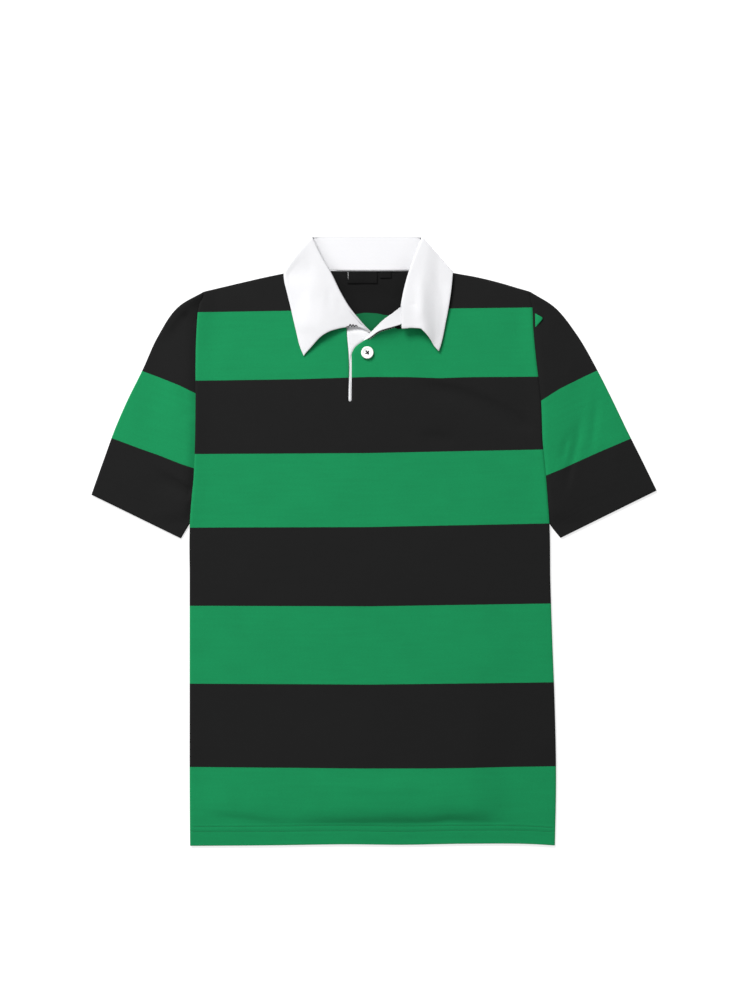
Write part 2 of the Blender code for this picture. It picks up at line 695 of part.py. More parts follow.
def button():
    """A turned button with a raised rim and four holes."""
    mesh = bpy.data.meshes.new("button")
    points = [(0, 0, BUTTON_PROFILE[0][1])]
    for radius, height in BUTTON_PROFILE[1:-1]:
        for i in range(BUTTON_SIDES):
            angle = 2 * math.pi * i / BUTTON_SIDES
            points.append((radius * math.cos(angle), radius * math.sin(angle), height))
    points.append((0, 0, BUTTON_PROFILE[-1][1]))
    last = len(points) - 1
    rings = len(BUTTON_PROFILE) - 2
    faces = []
    for i in range(BUTTON_SIDES):
        j = (i + 1) % BUTTON_SIDES
        faces.append((0, 1 + j, 1 + i))
        faces.append((last, last - BUTTON_SIDES + i, last - BUTTON_SIDES + j))
        for ring in range(rings - 1):
            low = 1 + ring * BUTTON_SIDES
            high = low + BUTTON_SIDES
            faces.append((low + i, low + j, high + j, high + i))
    mesh.from_pydata([tuple(MM * c for c in point) for point in points], [], faces)
    made = placed("button", mesh, PEARL, 0.3)
    x, y = BUTTON_AT
    base = float(front_level(np.array(x), np.array(y))) + JERSEY / 2 + GAP
    made.location = (x * MM, y * MM, base * MM)
    for corner in range(4):
        angle = math.pi / 4 + corner * math.pi / 2
        bpy.ops.mesh.primitive_cylinder_add(
            vertices=HOLE_SIDES,
            radius=BUTTON_HOLE * MM,
            depth=4 * BUTTON_HEIGHT * MM,
            location=(
                (x + BUTTON_HOLE_SPREAD * math.cos(angle)) * MM,
                (y + BUTTON_HOLE_SPREAD * math.sin(angle)) * MM,
                base * MM,
            ),
        )
        cutter = bpy.context.object
        cutter.name = f"hole_cutter_{corner}"
        cutter.hide_render = True
        cutter.display_type = "WIRE"
        cut = made.modifiers.new(f"Hole {corner}", "BOOLEAN")
        cut.operation = "DIFFERENCE"
        cut.object = cutter
    return made


def main():
    for old in list(bpy.data.objects):
        bpy.data.objects.remove(old)
    cloth("back_panel", back_grids(), JERSEY, GREEN)
    cloth("front_panel", front_grids(), JERSEY, GREEN)
    cloth("sleeve_right", sleeve_grids(SLEEVE_RIGHT, 0), JERSEY, BLACK)
    cloth("sleeve_left", sleeve_grids(SLEEVE_LEFT, 1), JERSEY, BLACK)
    stand, leaf = collar_grids()
    cloth("collar_stand", [stand], TWILL, WHITE)
    cloth("collar_leaf", [leaf], TWILL, WHITE)
    cloth("under_placket", [placket_grid()], JERSEY, WHITE)
    cloth("neck_label", [tab_grid(LABEL)], TAB, BLACK)
    cloth("size_tab", [tab_grid(SIZE_TAB)], TAB, BLACK)
    button()


main()
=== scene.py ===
# A short-sleeved rugby shirt laid flat on its back, neck towards +Y, on a pale floor at Z = 0.
# Left and right are the wearer's, so the wearer's right side lies at -X.
# Tables and sizes of the cloth are in millimetres; Blender's own objects are in metres.

import math

import bpy
import numpy as np
from mathutils.bvhtree import BVHTree
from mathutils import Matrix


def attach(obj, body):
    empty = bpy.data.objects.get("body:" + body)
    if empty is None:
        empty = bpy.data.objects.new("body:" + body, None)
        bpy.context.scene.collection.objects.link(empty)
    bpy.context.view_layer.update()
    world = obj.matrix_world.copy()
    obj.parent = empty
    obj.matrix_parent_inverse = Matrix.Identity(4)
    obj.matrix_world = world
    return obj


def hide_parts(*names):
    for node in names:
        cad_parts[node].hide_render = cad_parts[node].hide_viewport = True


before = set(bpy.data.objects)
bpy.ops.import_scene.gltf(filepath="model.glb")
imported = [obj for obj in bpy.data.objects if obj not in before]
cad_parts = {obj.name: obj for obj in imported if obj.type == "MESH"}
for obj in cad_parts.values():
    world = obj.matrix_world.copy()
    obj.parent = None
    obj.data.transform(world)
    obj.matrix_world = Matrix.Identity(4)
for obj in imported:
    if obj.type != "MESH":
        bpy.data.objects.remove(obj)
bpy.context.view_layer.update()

MM = 0.001
UP = (0.0, 0.0, 1.0)

# ---- sizes of the cloth

JERSEY = 1.2
TWILL = 1.4
TAB = 0.7
GAP = 0.35
LAYER_GAP = 0.1

BACK_LEVEL = JERSEY / 2
FRONT_LEVEL = 3.9
SLEEVE_LEVEL = 3.3
LEAF_BACK_LEVEL = TWILL / 2
STAND_BACK_LEVEL = 2.45
STAND_FRONT_LEVEL = 4.95

# Where the back rises over the leaf under it: low x, high x, low y, and how far the slope reaches
LEAF_UNDER = (-124.0, 110.0, 347.0)
LEAF_SLOPE = 26.0

# Where the front rises over the placket and collar: middle x, half width, low y, slope, rise
NECK_MIDDLE = -5.0
NECK_HALF_WIDTH = 60.0
NECK_FROM_Y = 180.0
NECK_SLOPE = 70.0
NECK_RISE = 0.9

# The rounded edge where a front layer turns down to a back layer: its width, and the share that it may take
# of the first cell, then for each step its share of the width and of the drop
EDGE_WIDTH = 2.4
EDGE_ROOM = 0.8
EDGE_STEPS = [(s, 1 - math.sqrt(1 - (1 - s) ** 2)) for s in (0.0, 0.03, 0.1, 0.22, 0.4, 0.65, 1.0)]
SEAM_HALF_GAP = JERSEY / 2
ROLL_FADE = 16.0

# The body over the sleeves: its raised and rounded edge, and the sleeve that dips under it
ARMHOLE_RAISE = 1.4
ARMHOLE_RAISE_WIDTH = 22.0
ARMHOLE_ROUND = 0.9
ARMHOLE_ROUND_WIDTH = 2.6
OVER_SLEEVE_FADE = 30.0
SLEEVE_TUCK = 3.0
SLEEVE_TUCK_WIDTH = 6.0
TUCK_INSET = 4.0
SLEEVE_FADE = 20.0
SLEEVE_DIP = (3.4, 2.6)
SLEEVE_DIP_WIDTH = (6.0, 3.2)
# How far a sleeve rises beside the seam, how far that reaches, and the length of its slope
SLEEVE_SHOULDER = (2.2, 60.0, 48.0)

# Both layers sink together at the hem and at the cuffs
HEM_SINK = 1.3
CUFF_SINK = HEM_SINK * 0.8
HEM_SINK_LENGTH = 45.0

# Rows of stitches draw grooves: their depths and width. Then where the cuff's rows lie over its edge, and the
# step where the hem's turned-up cloth ends: height, how far over the upper row, width of its slope
HEM_GROOVE = 0.32
CUFF_GROOVE = 0.2
GROOVE_WIDTH = 1.3
CUFF_ROWS = (19.0, 25.5)
HEM_STEP = (0.35, 3.0, 1.5)

# Body outline: height, right edge, left edge. The armhole seams are its part above UNDERARM.
BODY_EDGES = (
    (-402.0, -243.0, 239.0), (-315.0, -243.5, 240.5), (-209.0, -243.5, 238.5), (-130.0, -243.5, 235.5),
    (-51.0, -243.5, 233.0), (22.0, -243.3, 231.8), (55.0, -241.0, 229.5), (81.0, -238.5, 227.5),
    (134.0, -236.3, 222.5), (187.0, -235.6, 220.5), (240.0, -235.6, 214.2), (279.0, -234.3, 210.6),
    (311.0, -231.0, 209.0), (330.0, -224.4, 205.9),
)
UNDERARM = 22.0
SHOULDER_TIP = 330.0

# A pleat of green cloth that shows past the left armhole seam, as a triangle: x, y
PLEAT = ((206.0, 304.6), (222.7, 294.6), (206.0, 275.0))
PLEAT_LOW = 3.1
PLEAT_RISE = 3.4
PLEAT_FROM = 2.5
PLEAT_SLOPE = 9.0
PLEAT_BOW = 0.06
PLEAT_STEPS = 8

# Hem line: x, y, and the heights of its two rows of stitches over the hem: x, lower, upper
HEM = ((-243, -402), (-137, -401.3), (-32, -400), (35, -400.6), (123, -399.2), (219, -400.2), (239, -401.5))
HEM_ROWS = ((-243, 18.9, 25.8), (0, 17.9, 25.4), (239, 18.0, 23.6))

# Shoulder seams, from armhole to neck: x, y
SHOULDER_RIGHT = ((-224.4, 330.0), (-176.9, 341.3), (-143.9, 348.9), (-120.0, 353.8), (-97.7, 358.4))
SHOULDER_LEFT = (
    (205.9, 330.0), (191.4, 334.2), (165.0, 342.0), (133.3, 349.6), (105.6, 354.5), (84.5, 359.0),
)

# Placket slit: the height of its round foot and its two sides up to the neck, x, y
SLIT_FOOT_Y = 187.0
SLIT_RIGHT = ((-34.3, 187.0), (-34.3, 250.0), (-35.4, 262.0), (-36.4, 274.0), (-36.8, 284.0))
SLIT_LEFT = ((-29.0, 187.0), (-29.0, 247.5))

# Neck seam of the front, from the slit to the shoulder: x, y
NECK_RIGHT = ((-36.8, 284.0), (-50.0, 291.5), (-66.0, 306.0), (-82.0, 328.5), (-97.7, 358.4))
FLAP_NECK = (
    (-29.0, 247.5), (-25.1, 255.4), (-14.5, 263.6), (-4.0, 270.7), (6.2, 277.8), (19.8, 282.2),
    (34.3, 286.4),
)
NECK_LEFT = ((34.3, 286.4), (52.0, 296.0), (68.0, 313.0), (79.0, 337.0), (84.5, 359.0))
FOLD_SEAM_RIGHT = (-95.6, 358.9)
FOLD_SEAM_LEFT = (82.6, 359.4)

# Neck seam of the back: x, y
NECK_BACK = ((-97.7, 358.4), (-58.0, 357.2), (0.0, 356.8), (45.0, 357.2), (84.5, 359.0))

# Sleeve edges from armhole to cuff: overarm x, overarm y, underarm x, underarm y
SLEEVE_RIGHT = (
    (-224.4, 330.0, -243.3, 24.0), (-257.8, 310.3, -244.6, 22.0), (-285.0, 271.3, -246.6, 18.6),
    (-305.4, 227.0, -248.6, 15.2), (-325.4, 186.8, -250.4, 12.0), (-341.5, 150.0, -252.0, 9.2),
    (-357.1, 107.6, -253.4, 6.8), (-373.3, 62.3, -254.8, 4.4),
)
SLEEVE_LEFT = (
    (205.9, 330.0, 232.0, 23.5), (238.4, 309.5, 234.4, 20.2), (266.4, 275.2, 237.0, 16.4),
    (295.3, 225.3, 239.4, 13.4), (314.8, 186.8, 241.4, 10.8), (334.0, 147.0, 243.2, 8.6),
    (353.8, 107.6, 244.8, 6.6), (373.3, 67.8, 246.2, 5.1),
)

# Collar, each side of the front: the roll line from its front end to the shoulder fold, the leaf's outer
# edge from the point to the fold, and its front edge from the roll line to the point: x, y
ROLL_RIGHT = (
    (-2.0, 275.2), (-9.5, 282.5), (-21.1, 295.7), (-31.7, 308.9), (-43.6, 328.7), (-56.6, 355.1),
    (-66.0, 371.0), (-81.8, 402.8),
)
ROLL_LEFT = ((35.0, 310.6), (38.3, 328.7), (45.3, 355.1), (63.1, 402.8))
OUTER_RIGHT = (
    (-93.0, 245.3), (-97.0, 254.6), (-102.6, 275.9), (-105.7, 289.1), (-110.2, 308.9), (-115.0, 328.7),
    (-118.3, 341.9), (-119.8, 356.0),
)
OUTER_LEFT = (
    (85.6, 251.4), (87.6, 256.5), (90.2, 266.0), (94.9, 289.1), (99.8, 315.5), (103.2, 341.9),
    (104.5, 356.4),
)
FRONT_RIGHT_EDGE = (
    (-2.0, 275.2), (-13.2, 280.9), (-22.4, 283.0), (-30.0, 283.2), (-38.9, 282.4), (-49.5, 280.2),
    (-60.1, 276.7), (-70.6, 269.9), (-81.5, 258.0), (-93.0, 245.3),
)
FRONT_LEFT_EDGE = ((37.0, 280.8), (42.9, 281.2), (48.2, 281.9), (53.5, 281.7), (62.0, 281.0))
FRONT_LEFT_POINT = ((62.0, 281.0), (69.3, 273.6), (74.6, 266.6), (79.9, 257.3), (85.6, 251.4))
COLLAR_SIDES = ((-1, ROLL_RIGHT, OUTER_RIGHT), (1, ROLL_LEFT, OUTER_LEFT))
OUTER_BACK = ((-60.0, 350.8), (0.0, 349.2), (48.0, 350.8))
ROLL_BACK_Y = 402.8
FOLD_REACH = 0.9
FOLD_BOW_RIGHT = 1.7

# Heights along the front of the collar, from its front end to the shoulder fold: stand, leaf at the roll line
RISE_RIGHT = ((4.6, 6.2), (6.8, 8.5), (8.2, 10.1), (8.9, 11.0), (9.3, 11.6), (9.4, 12.0), (9.6, 12.4))
RISE_LEFT = ((15.0, 17.4), (13.4, 16.0), (11.5, 14.1), (10.0, 12.6), (9.1, 11.7))
LEAF_EDGE_LEVEL = (6.8, 8.6)
LEAF_CORNER_LEVEL = 17.4
# The right leaf: share of its width that is level, and the power of its fall from there
LEAF_FALL_RIGHT = (0.3, 1.3)
# The left leaf: share of its fall that is even, where the rest starts, its length, its shift at the shoulder
LEAF_FALL_LEFT = (0.4, 0.43, 0.44, -0.28)
# Creases of the leaf fade over these shares of its width and length, at the roll line and at the shoulder
LEAF_CREASE_FADE = (0.12, 0.1)
STAND_BACK_ROLL = 4.2
STAND_BACK_HUMP = 5.2
STAND_BACK_HUMP_SHARE = 0.025
# Beside the roll lines the stand sinks: depth and width at the roll, and what the seam adds to each
STAND_SINKS = ((1.0, 5.0, 1.7, 10.0), (0.9, 5.0, 0.8, 9.0))
STAND_LOWEST = 2.3
ROLL_BULGE = 1.9
ROLL_BULGE_FROM = 0.5
ROLL_BULGE_WITHIN = 0.2
ROLL_BULGE_BACK = 0.9
# The right front of the stand bows towards the neck: how far, over what share of its length
STAND_BOW = (4.5, 0.2)

# How far the leaf's free front edge stands off the shirt: share of the edge from the roll, lift
EDGE_LIFT_RIGHT = ((0.0, 0.0), (0.18, 0.2), (0.32, 1.8), (0.45, 4.4), (0.6, 6.4), (0.8, 3.4), (1.0, 0.0))
EDGE_LIFT_LEFT = ((0.0, 0.0), (0.25, 0.2), (0.48, 1.6), (0.75, 1.8), (1.0, 0.0))
LIFT_REACH = 0.6

# The left neck seam rises with the collar: how far the stand does, over what share of its length, and how far
# the front does, how fast that falls off, and how it starts and fades along the seam
SEAM_RISE = 10.0
SEAM_RISE_SHARE = 0.5
NECK_LIFT = 7.4
NECK_LIFT_WIDTH = 8.5
NECK_LIFT_FADE = (0.05, 0.35, 0.3)

# The left free end of the stand, past the leaf: seam x, y, z, then upper edge x, y, z, from end to leaf
STAND_END_LEFT = (
    (-13.2, 265.0, 4.4, -12.0, 267.6, 4.4), (-3.9, 270.9, 10.0, -3.4, 276.2, 10.3),
    (6.0, 278.0, 13.8, 6.8, 286.6, 14.4), (15.0, 281.2, 14.9, 15.2, 294.4, 15.5),
    (22.9, 283.3, 15.1, 24.4, 300.6, 15.8),
)

# Under-placket: y, right edge, left edge, from its foot to its slanted top
PLACKET = (
    (182.0, -41.5, -4.0), (200.0, -42.0, -4.0), (235.0, -42.0, -4.0), (257.0, -42.5, -4.0),
    (286.0, -43.0, -4.0),
)
PLACKET_TOP_SLOPE = -0.53
PLACKET_TOP_FROM_X = -24.0
PLACKET_TOP_SHARE = (0, 0, 0, 0.4, 1)
PLACKET_BELOW = JERSEY / 2 + GAP + JERSEY / 2
# It dips under the leaf, over a width of its own, and puffs up in the slit: rise, how far outside the slit
# that starts, width of its slope. It puffs up less under the leaf, and not below the slit's foot: how far
# under the foot's height that starts, length of its slope
PLACKET_UNDER_LEAF = 9.0
PLACKET_DIP = 1.2
PLACKET_PUFF = (1.45, 0.2, 2.4)
PLACKET_CALM = 0.5
PLACKET_FOOT = (2.2, 2.0)

# Button
BUTTON_AT = (-8.8, 249.2)
BUTTON_LIFT = 0.9
BUTTON_HOLE = 0.95
HOLE_DEPTH = 10.0
BUTTON_HOLE_SPREAD = 2.1
BUTTON_TURN = math.radians(38)
# Its half profile: radius, height
BUTTON_PROFILE = (
    (0, 0), (5.6, 0), (7.2, 0.35), (8.0, 1.0), (8.2, 1.6), (8.05, 2.2), (7.6, 2.65), (7.0, 2.8),
    (6.3, 2.75), (5.6, 2.5), (5.0, 2.15), (4.2, 2.0), (0, 2.0),
)

# Neck tabs on the inside of the back: low x, high x, low y, high y
LABEL = (-35.0, 4.0, 341.0, 356.0)
SIZE_TAB = (8.0, 22.5, 348.0, 356.0)
TAB_GAP = 0.1
TAB_RISE = 0.5
TAB_RISE_LENGTH = 12.0
# The ripple along its free edge: height, length, and how far from the sewn edge it fades
TAB_RIPPLE = (0.25, 6.0, 10.0)

# Black tape along the neck seam of the flap: share of its length, width. Its wide black end is a painted
# shadow of the gap under the left leaf's corner. Then its thickness, its lift over the front, the shares of
# its width where its first and last rows lie and their number, and the steps along the seam with the first
# one that it covers
TAPE_AND_SHADOW_WIDTH = ((0.0, 1.2), (0.3, 1.9), (0.7, 2.2), (0.84, 2.5), (0.9, 5.0), (1.0, 5.8))
TAPE_THICKNESS = 0.5
TAPE_LIFT = 0.15
TAPE_ACROSS = (-0.6, 1, 6)
TAPE_STEPS = 60
TAPE_FROM = 8

# Stitches: pitch, length, radius. The hem's rows stop short of its corners. The tape's row ends some steps
# before the seam does, and lies out of the seam and over the tape. The label's rows: x, lowest y
HEM_STITCH = (3.1, 2.5, 0.34)
HEM_STITCH_END = 3.0
HEM_ROW_POINTS = 240
TAPE_STITCH = (3.2, 2.3, 0.42)
TAPE_STITCH_STOP = 7
TAPE_STITCH_OUT = 2.2
TAPE_STITCH_LIFT = 0.2
LABEL_STITCH_WHITE = (2.0, 1.7, 0.35)
LABEL_STITCH_BLACK = (2.2, 1.7, 0.25)
LABEL_STITCH_LIFT = 0.25
LABEL_WHITE_ROW = (-34.1, 345.5)
LABEL_BLACK_ROW = (2.8, 342.0)
# The ends of a stitch: how deep they lie and how thick they are, as shares of its radius
STITCH_SUNK = 0.6
STITCH_END = 0.55
THREAD_END = 0.6

# The strands of the button's thread: radius, how high each rises, and along each its share of the way across,
# of that rise, and what it adds. Then the tack at the right end of the stand, whose dark thread is partly a
# painted shadow under the leaf's edge: x, y
STRAND_RADIUS = 0.78
STRAND_RISE = (0.75, 1.1)
STRAND = ((0, 0, -0.9), (0.25, 1, -0.1), (0.5, 1, 0.1), (0.75, 1, -0.1), (1, 0, -0.9))
TACK_RADIUS = 0.55
TACK_LIFT = 0.35
TACK = (
    (-36.2, 283.4), (-33.4, 283.6), (-31.4, 286.4), (-29.6, 283.4), (-27.6, 286.2), (-25.8, 283.4),
    (-24.0, 285.2), (-21.6, 283.6),
)

# ---- hoops

# Where the colour changes on the front, from the neck down: x, y along each line
FRONT_HOOPS = (
    ((-203, 303.3), (-7, 306.4), (193, 308.9)),
    ((-230, 212.5), (-98, 214.4), (-7, 217.4), (45, 217.2), (87, 215.8), (130, 217.2), (193, 217.6)),
    ((-203, 115.8), (-7, 116.9), (193, 121.0)), ((-203, 18.7), (-7, 19.3), (193, 23.3)),
    ((-203, -84.8), (-7, -85.4), (193, -82.3)), ((-203, -187.6), (-7, -188.5), (193, -186.2)),
    ((-203, -297.7), (-7, -299.0), (80, -298.9), (193, -297.2)),
)
BACK_TOP_HOOP = (
    (-203, 303), (-40, 298), (-22.4, 300.6), (-11.9, 302.3), (5.3, 301.2), (14.5, 299), (60, 298),
    (193, 305),
)
SLEEVE_RIGHT_HOOPS = (
    ((-306.9, 225.7), (-282.5, 216.5), (-256.1, 205.9), (-236.3, 196.0)),
    ((-345.8, 136.6), (-308.9, 122.8), (-282.5, 113.5), (-256.1, 103.0), (-240.2, 97.7)),
)
SLEEVE_LEFT_HOOPS = (
    ((221.8, 186.8), (235.0, 195.4), (245.5, 202.0), (271.9, 215.2), (295.3, 226.4)),
    ((228.4, 87.8), (245.5, 95.0), (271.9, 106.9), (298.3, 118.8), (334.0, 134.0)),
)
SLEEVE_TILT = math.radians(24)

# ---- folds of the cloth

# Each: path of x, y, width on its left and on its right, height, share of its length that fades at each end
# A width of 0 is a foot: the cloth rises from it on the other side only, steeply at first, then levels out
FRONT_FOLDS = (
    (
        ((43, 211), (75, 205), (110, 198), (139, 187), (164, 176), (190, 161), (214, 145)), 6, 16, -2.6,
        0.3, 0.15,
    ),
    (((55, 143), (82, 138), (112, 131)), 6, 12, -1.4, 0.4, 0.4),
    (
        (
            (-190, -370), (-122, -372), (-60, -371.5), (22, -370.5), (79, -369.5), (104, -367),
            (135, -368.5), (186, -370),
        ),
        12, 0, 9.8, 0.5, 0.18,
    ),
    (((-230, -360), (-190, -363), (-153, -367), (-110, -373)), 8, 0, 3.6, 0.3, 0.45),
    (((-100, -322), (0, -326), (115, -322)), 14, 7, 0.7, 0.4, 0.4),
    (((-150, 60), (-40, 52), (60, 60)), 40, 30, 0.5, 0.5, 0.5),
    (((-190, -40), (-110, -60), (-20, -58)), 30, 44, -0.5, 0.5, 0.5),
    (((60, -120), (130, -150), (190, -210)), 34, 26, 0.6, 0.5, 0.5),
    (((-160, -240), (-90, -228), (-10, -236)), 30, 30, -0.5, 0.5, 0.5),
    (((-214, 318), (-205, 285), (-200, 240)), 10, 16, -0.7, 0.3, 0.5),
    (((196, 318), (190, 280), (186, 232)), 16, 10, -0.6, 0.3, 0.5),
)
SLEEVE_RIGHT_FOLDS = (
    (((-297, 99), (-268, 82), (-240, 65)), 4.0, 12, -2.2, 0.6, 0.05),
    (((-290, 88), (-266, 74), (-244, 58)), 3.5, 10, -1.0, 0.5, 0.3),
    (((-262, 212), (-250, 190), (-241, 158)), 6, 10, -1.3, 0.5, 0.2),
    (((-252, 303), (-245, 297), (-236, 286)), 3, 5, -2.4, 0.3, 0.1),
    (
        (
            (-284, 254), (-275, 267.5), (-266.5, 279), (-256, 294), (-248, 304.5), (-236.5, 314.5),
            (-222, 322.5),
        ),
        4.5, 0, 4.2, 0.5, 0.05,
    ),
    (((-300, 210), (-318, 160), (-330, 110)), 14, 14, 0.6, 0.5, 0.5),
)
SLEEVE_LEFT_FOLDS = (
    (((296, 205), (293, 170), (285, 105)), 5, 6, -1.2, 0.4, 0.4),
    (((274, 180), (268, 130), (258, 90), (250, 52)), 5, 8, -1.7, 0.35, 0.35),
    (((262, 150), (254, 130), (247, 100)), 4, 6, -1.0, 0.4, 0.3),
    (((262, 262), (258, 220), (250, 170)), 9, 9, 0.7, 0.5, 0.5),
    (((214, 318), (221, 300), (224, 270)), 5, 8, -1.2, 0.2, 0.5),
    (((318, 150), (322, 120), (318, 86)), 10, 10, 0.6, 0.5, 0.5),
)
LEAF_FOLDS = (
    (((-76, 352), (-84, 330), (-88, 306), (-92, 272)), 12, 12, 1.2, 0.35, 0.2),
    (((-60, 338), (-59, 322), (-57.5, 305)), 2.6, 3.2, -0.5, 0.35, 0.35),
    (((-46, 319), (-45.5, 308), (-45, 298)), 1.8, 1.8, -0.35, 0.3, 0.3),
    (((-54, 316), (-46, 316.4), (-38, 316)), 1.6, 1.6, -0.3, 0.3, 0.3),
    (((-70, 330), (-69, 300), (-72, 282)), 5, 5, 0.4, 0.4, 0.4),
    (((63, 362), (62, 345), (62, 320), (60, 286)), 6, 6, 0.9, 0.45, 0.25),
    (
        (
            (71, 368), (79.2, 355.7), (83.2, 345.2), (88.4, 334.6), (91.1, 322), (91.4, 308), (90.4, 288),
            (88.4, 271.3), (86.5, 256),
        ),
        9, 6.0, -0.7, 0.3, 0.15,
    ),
    (((-119, 351), (-100, 357), (-74, 364)), 18, 14, -1.3, 0.15, 0.3),
    (((46, 314), (52, 313), (57, 313)), 2, 2, -0.35, 0.3, 0.3),
    (((99, 345), (98, 325), (95, 300)), 6, 6, 0.5, 0.4, 0.4),
)

# A foot's rounding, and how many of its widths a step's top reaches before it sinks back
FOOT_ROUND = 1.8
STEP_REACH = 9.0

# Long, low waves all over: x and y periods, phase, height
WAVES = (
    (310, 170, 0.4, 0.22), (190, 260, 1.9, 0.2), (120, 140, 3.7, 0.1), (83, 190, 5.2, 0.07),
    (150, 61, 2.6, 0.06),
)
WAVE_BEND = 0.8
WAVE_BEND_LENGTH = 2.3
# They fade over these lengths at the hem and at the shoulder, where they start past the tip, and at the neck
HEM_CALM = 12.0
SHOULDER_CALM = (16.0, 30.0)
NECK_CALM = 0.8
# On the sleeves: scale, shift along x, share of their height
SLEEVE_WAVES = (1.3, 40.0, 0.8)

# ---- grid sizes

CELL = 4.0
# Near the hem: cell, how far up, then the same for the crease over it
HEM_CELL = 1.0
HEM_FINE = 36.0
CREASE_CELL = 2.0
CREASE_FINE = 62.0
YOKE_CELL = 3.0
SLIT_COLUMNS = 8
# Shares of the rows above the slit's foot that its two sides take, and the flap's neck edge
SLIT_SHARE_RIGHT = 0.4
SLIT_SHARES_LEFT = (0.26, 0.34)
BACK_CELL = 6.0
# Lengths of the back's shoulder, neck and shoulder, with their cells
BACK_RUNS = ((125, BACK_CELL), (182, CELL), (120, BACK_CELL))
SLEEVE_ROWS = 62
SLEEVE_COLUMNS = 76
LEAF_ROWS = 24
LEFT_EDGE_ROWS = 10
STAND_SHARES = np.array((0, 0.015, 0.03, 0.05, 0.08, 0.16, 0.3, 0.45, 0.6, 0.75, 0.88, 0.95, 1))
ARC_ROWS = 8
FRONT_STATIONS = 46
FREE_STATIONS = 10
FREE_END_STEPS = 10
BACK_STATIONS = 56
RIM_STEPS = 3
TURN_ANGLES = np.linspace(75, -75, 9)
PLACKET_STEPS = (60, 40)
TAB_CELL = 1.5
STITCH_RINGS = 5
STITCH_SIDES = 6
THREAD_SIDES = 8
BUTTON_SIDES = 64
HOLE_SIDES = 20
# Steps for each leg of a path that distances are measured from, and the steps in a millimetre by which
# points count as one
LEG_STEPS = 6
MERGE_STEPS = 200

# ---- colours, linear

GREEN = (0.0040, 0.240, 0.0795, 1.0)
BLACK = (0.0069, 0.0069, 0.0069, 1.0)
TAPE_BLACK = (0.0036, 0.0036, 0.0036, 1.0)
WHITE = (0.728, 0.728, 0.745, 1.0)
# How much lighter the stand is painted than the leaf: painted light
STAND_PAINTED_LIGHT = 0.02
# The knit's wrong side is painted darker by this factor: painted shade for the shade inside the neck. Its
# rows of loops are real.
WRONG_SIDE_PAINTED_SHADE = 0.56
THREADS = (
    ("green", (0.005, 0.150, 0.052, 1.0)),
    ("black", (0.006, 0.006, 0.006, 1.0)),
    ("white", (0.75, 0.75, 0.75, 1.0)),
    ("grey", (0.42, 0.45, 0.43, 1.0)),
    ("dark", (0.012, 0.006, 0.012, 1.0)),
)
PEARL = (0.94, 0.96, 0.93, 1.0)
PAPER = (0.5, 0.5, 0.5, 1.0)
LIGHT = (1.0, 1.0, 1.0, 1.0)

# Widths of the knit's wales and courses, of the twill's ribs and yarns and of the tape's ribs, and of the
# painted shade along the collar's roll line, in metres
WALE = 0.00105
COURSE = 0.00080
TWILL_RIB = 0.0009
TWILL_YARN = 0.0011
TAPE_RIB = 0.0004
ROLL_PAINTED_SHADE_WIDTH = 0.0030

# The floor, a little under the shirt, and the camera straight over it, in metres. At its height the level
# of the front is 1.32 mm a pixel
FLOOR_HALF = 5.0
FLOOR_Z = -0.0004
CAMERA_AT = (0.00132, 0.0548, 3.121)
LENS = 85.0
SENSOR = 36.0

# ---- curves and grids


def through(keys, values, at):
    """The smooth curve through values given at keys, read at other keys."""
    keys, values, at = (np.asarray(numbers, float) for numbers in (keys, values, at))
    slopes = np.gradient(values, keys, axis=0)
    low = np.clip(np.searchsorted(keys, at, side="right") - 1, 0, len(keys) - 2)
    span = np.diff(keys)[low][:, None]
    u = (at - keys[low])[:, None] / span
    start = (2 * u**3 - 3 * u**2 + 1) * values[low] + (u**3 - 2 * u**2 + u) * span * slopes[low]
    end = (3 * u**2 - 2 * u**3) * values[low + 1] + (u**3 - u**2) * span * slopes[low + 1]
    return start + end


def read(table, at, column=1):
    """A table's column as a smooth curve over its first column."""
    table = np.array(table, float)
    return through(table[:, 0], table[:, 1:], np.ravel(at))[:, column - 1].reshape(np.shape(at))


def read_straight(table, at, column=1):
    """The same in straight lines."""
    table = np.array(table, float)
    return np.interp(at, table[:, 0], table[:, column])


def run_lengths(grid, axis=0):
    """How far along its line each point of a path or grid lies."""
    steps = np.linalg.norm(np.diff(grid, axis=axis), axis=-1)
    zero = np.zeros_like(np.take(steps, [0], axis=axis))
    return np.concatenate([zero, np.cumsum(steps, axis=axis)], axis=axis)


def shares(points):
    """How far along a path each of its points lies, from 0 to 1."""
    run = run_lengths(points[:, :2])
    return run / run[-1]


def along(points, steps):
    """Evenly spaced points of the smooth curve through a table's points."""
    rows = np.asarray(points, float)
    chord = run_lengths(rows[:, :2])
    return through(chord, rows, np.linspace(0, chord[-1], steps + 1))


def chain(*runs):
    """Smooth runs end to end with a corner between them, each given with its number of steps."""
    parts = [along(points, steps) for points, steps in runs]
    return np.concatenate([part[:-1] for part in parts[:-1]] + [parts[-1]])


def patch(bottom, top, left, right):
    """The grid that fills four edges: rows run from bottom to top, columns from left to right."""
    v = ((shares(left) + shares(right)) / 2)[:, None, None]
    u = ((shares(bottom) + shares(top)) / 2)[None, :, None]
    ruled_up = (1 - v) * bottom[None] + v * top[None]
    ruled_across = (1 - u) * left[:, None] + u * right[:, None]
    low = (1 - u) * bottom[0] + u * bottom[-1]
    high = (1 - u) * top[0] + u * top[-1]
    return ruled_up + ruled_across - (1 - v) * low - v * high


def steps_for(length, cell=CELL):
    return max(2, round(length / cell))


def smoothstep(x):
    x = np.clip(x, 0, 1)
    return x * x * (3 - 2 * x)


def unit(vectors):
    return vectors / np.linalg.norm(vectors, axis=-1, keepdims=True)


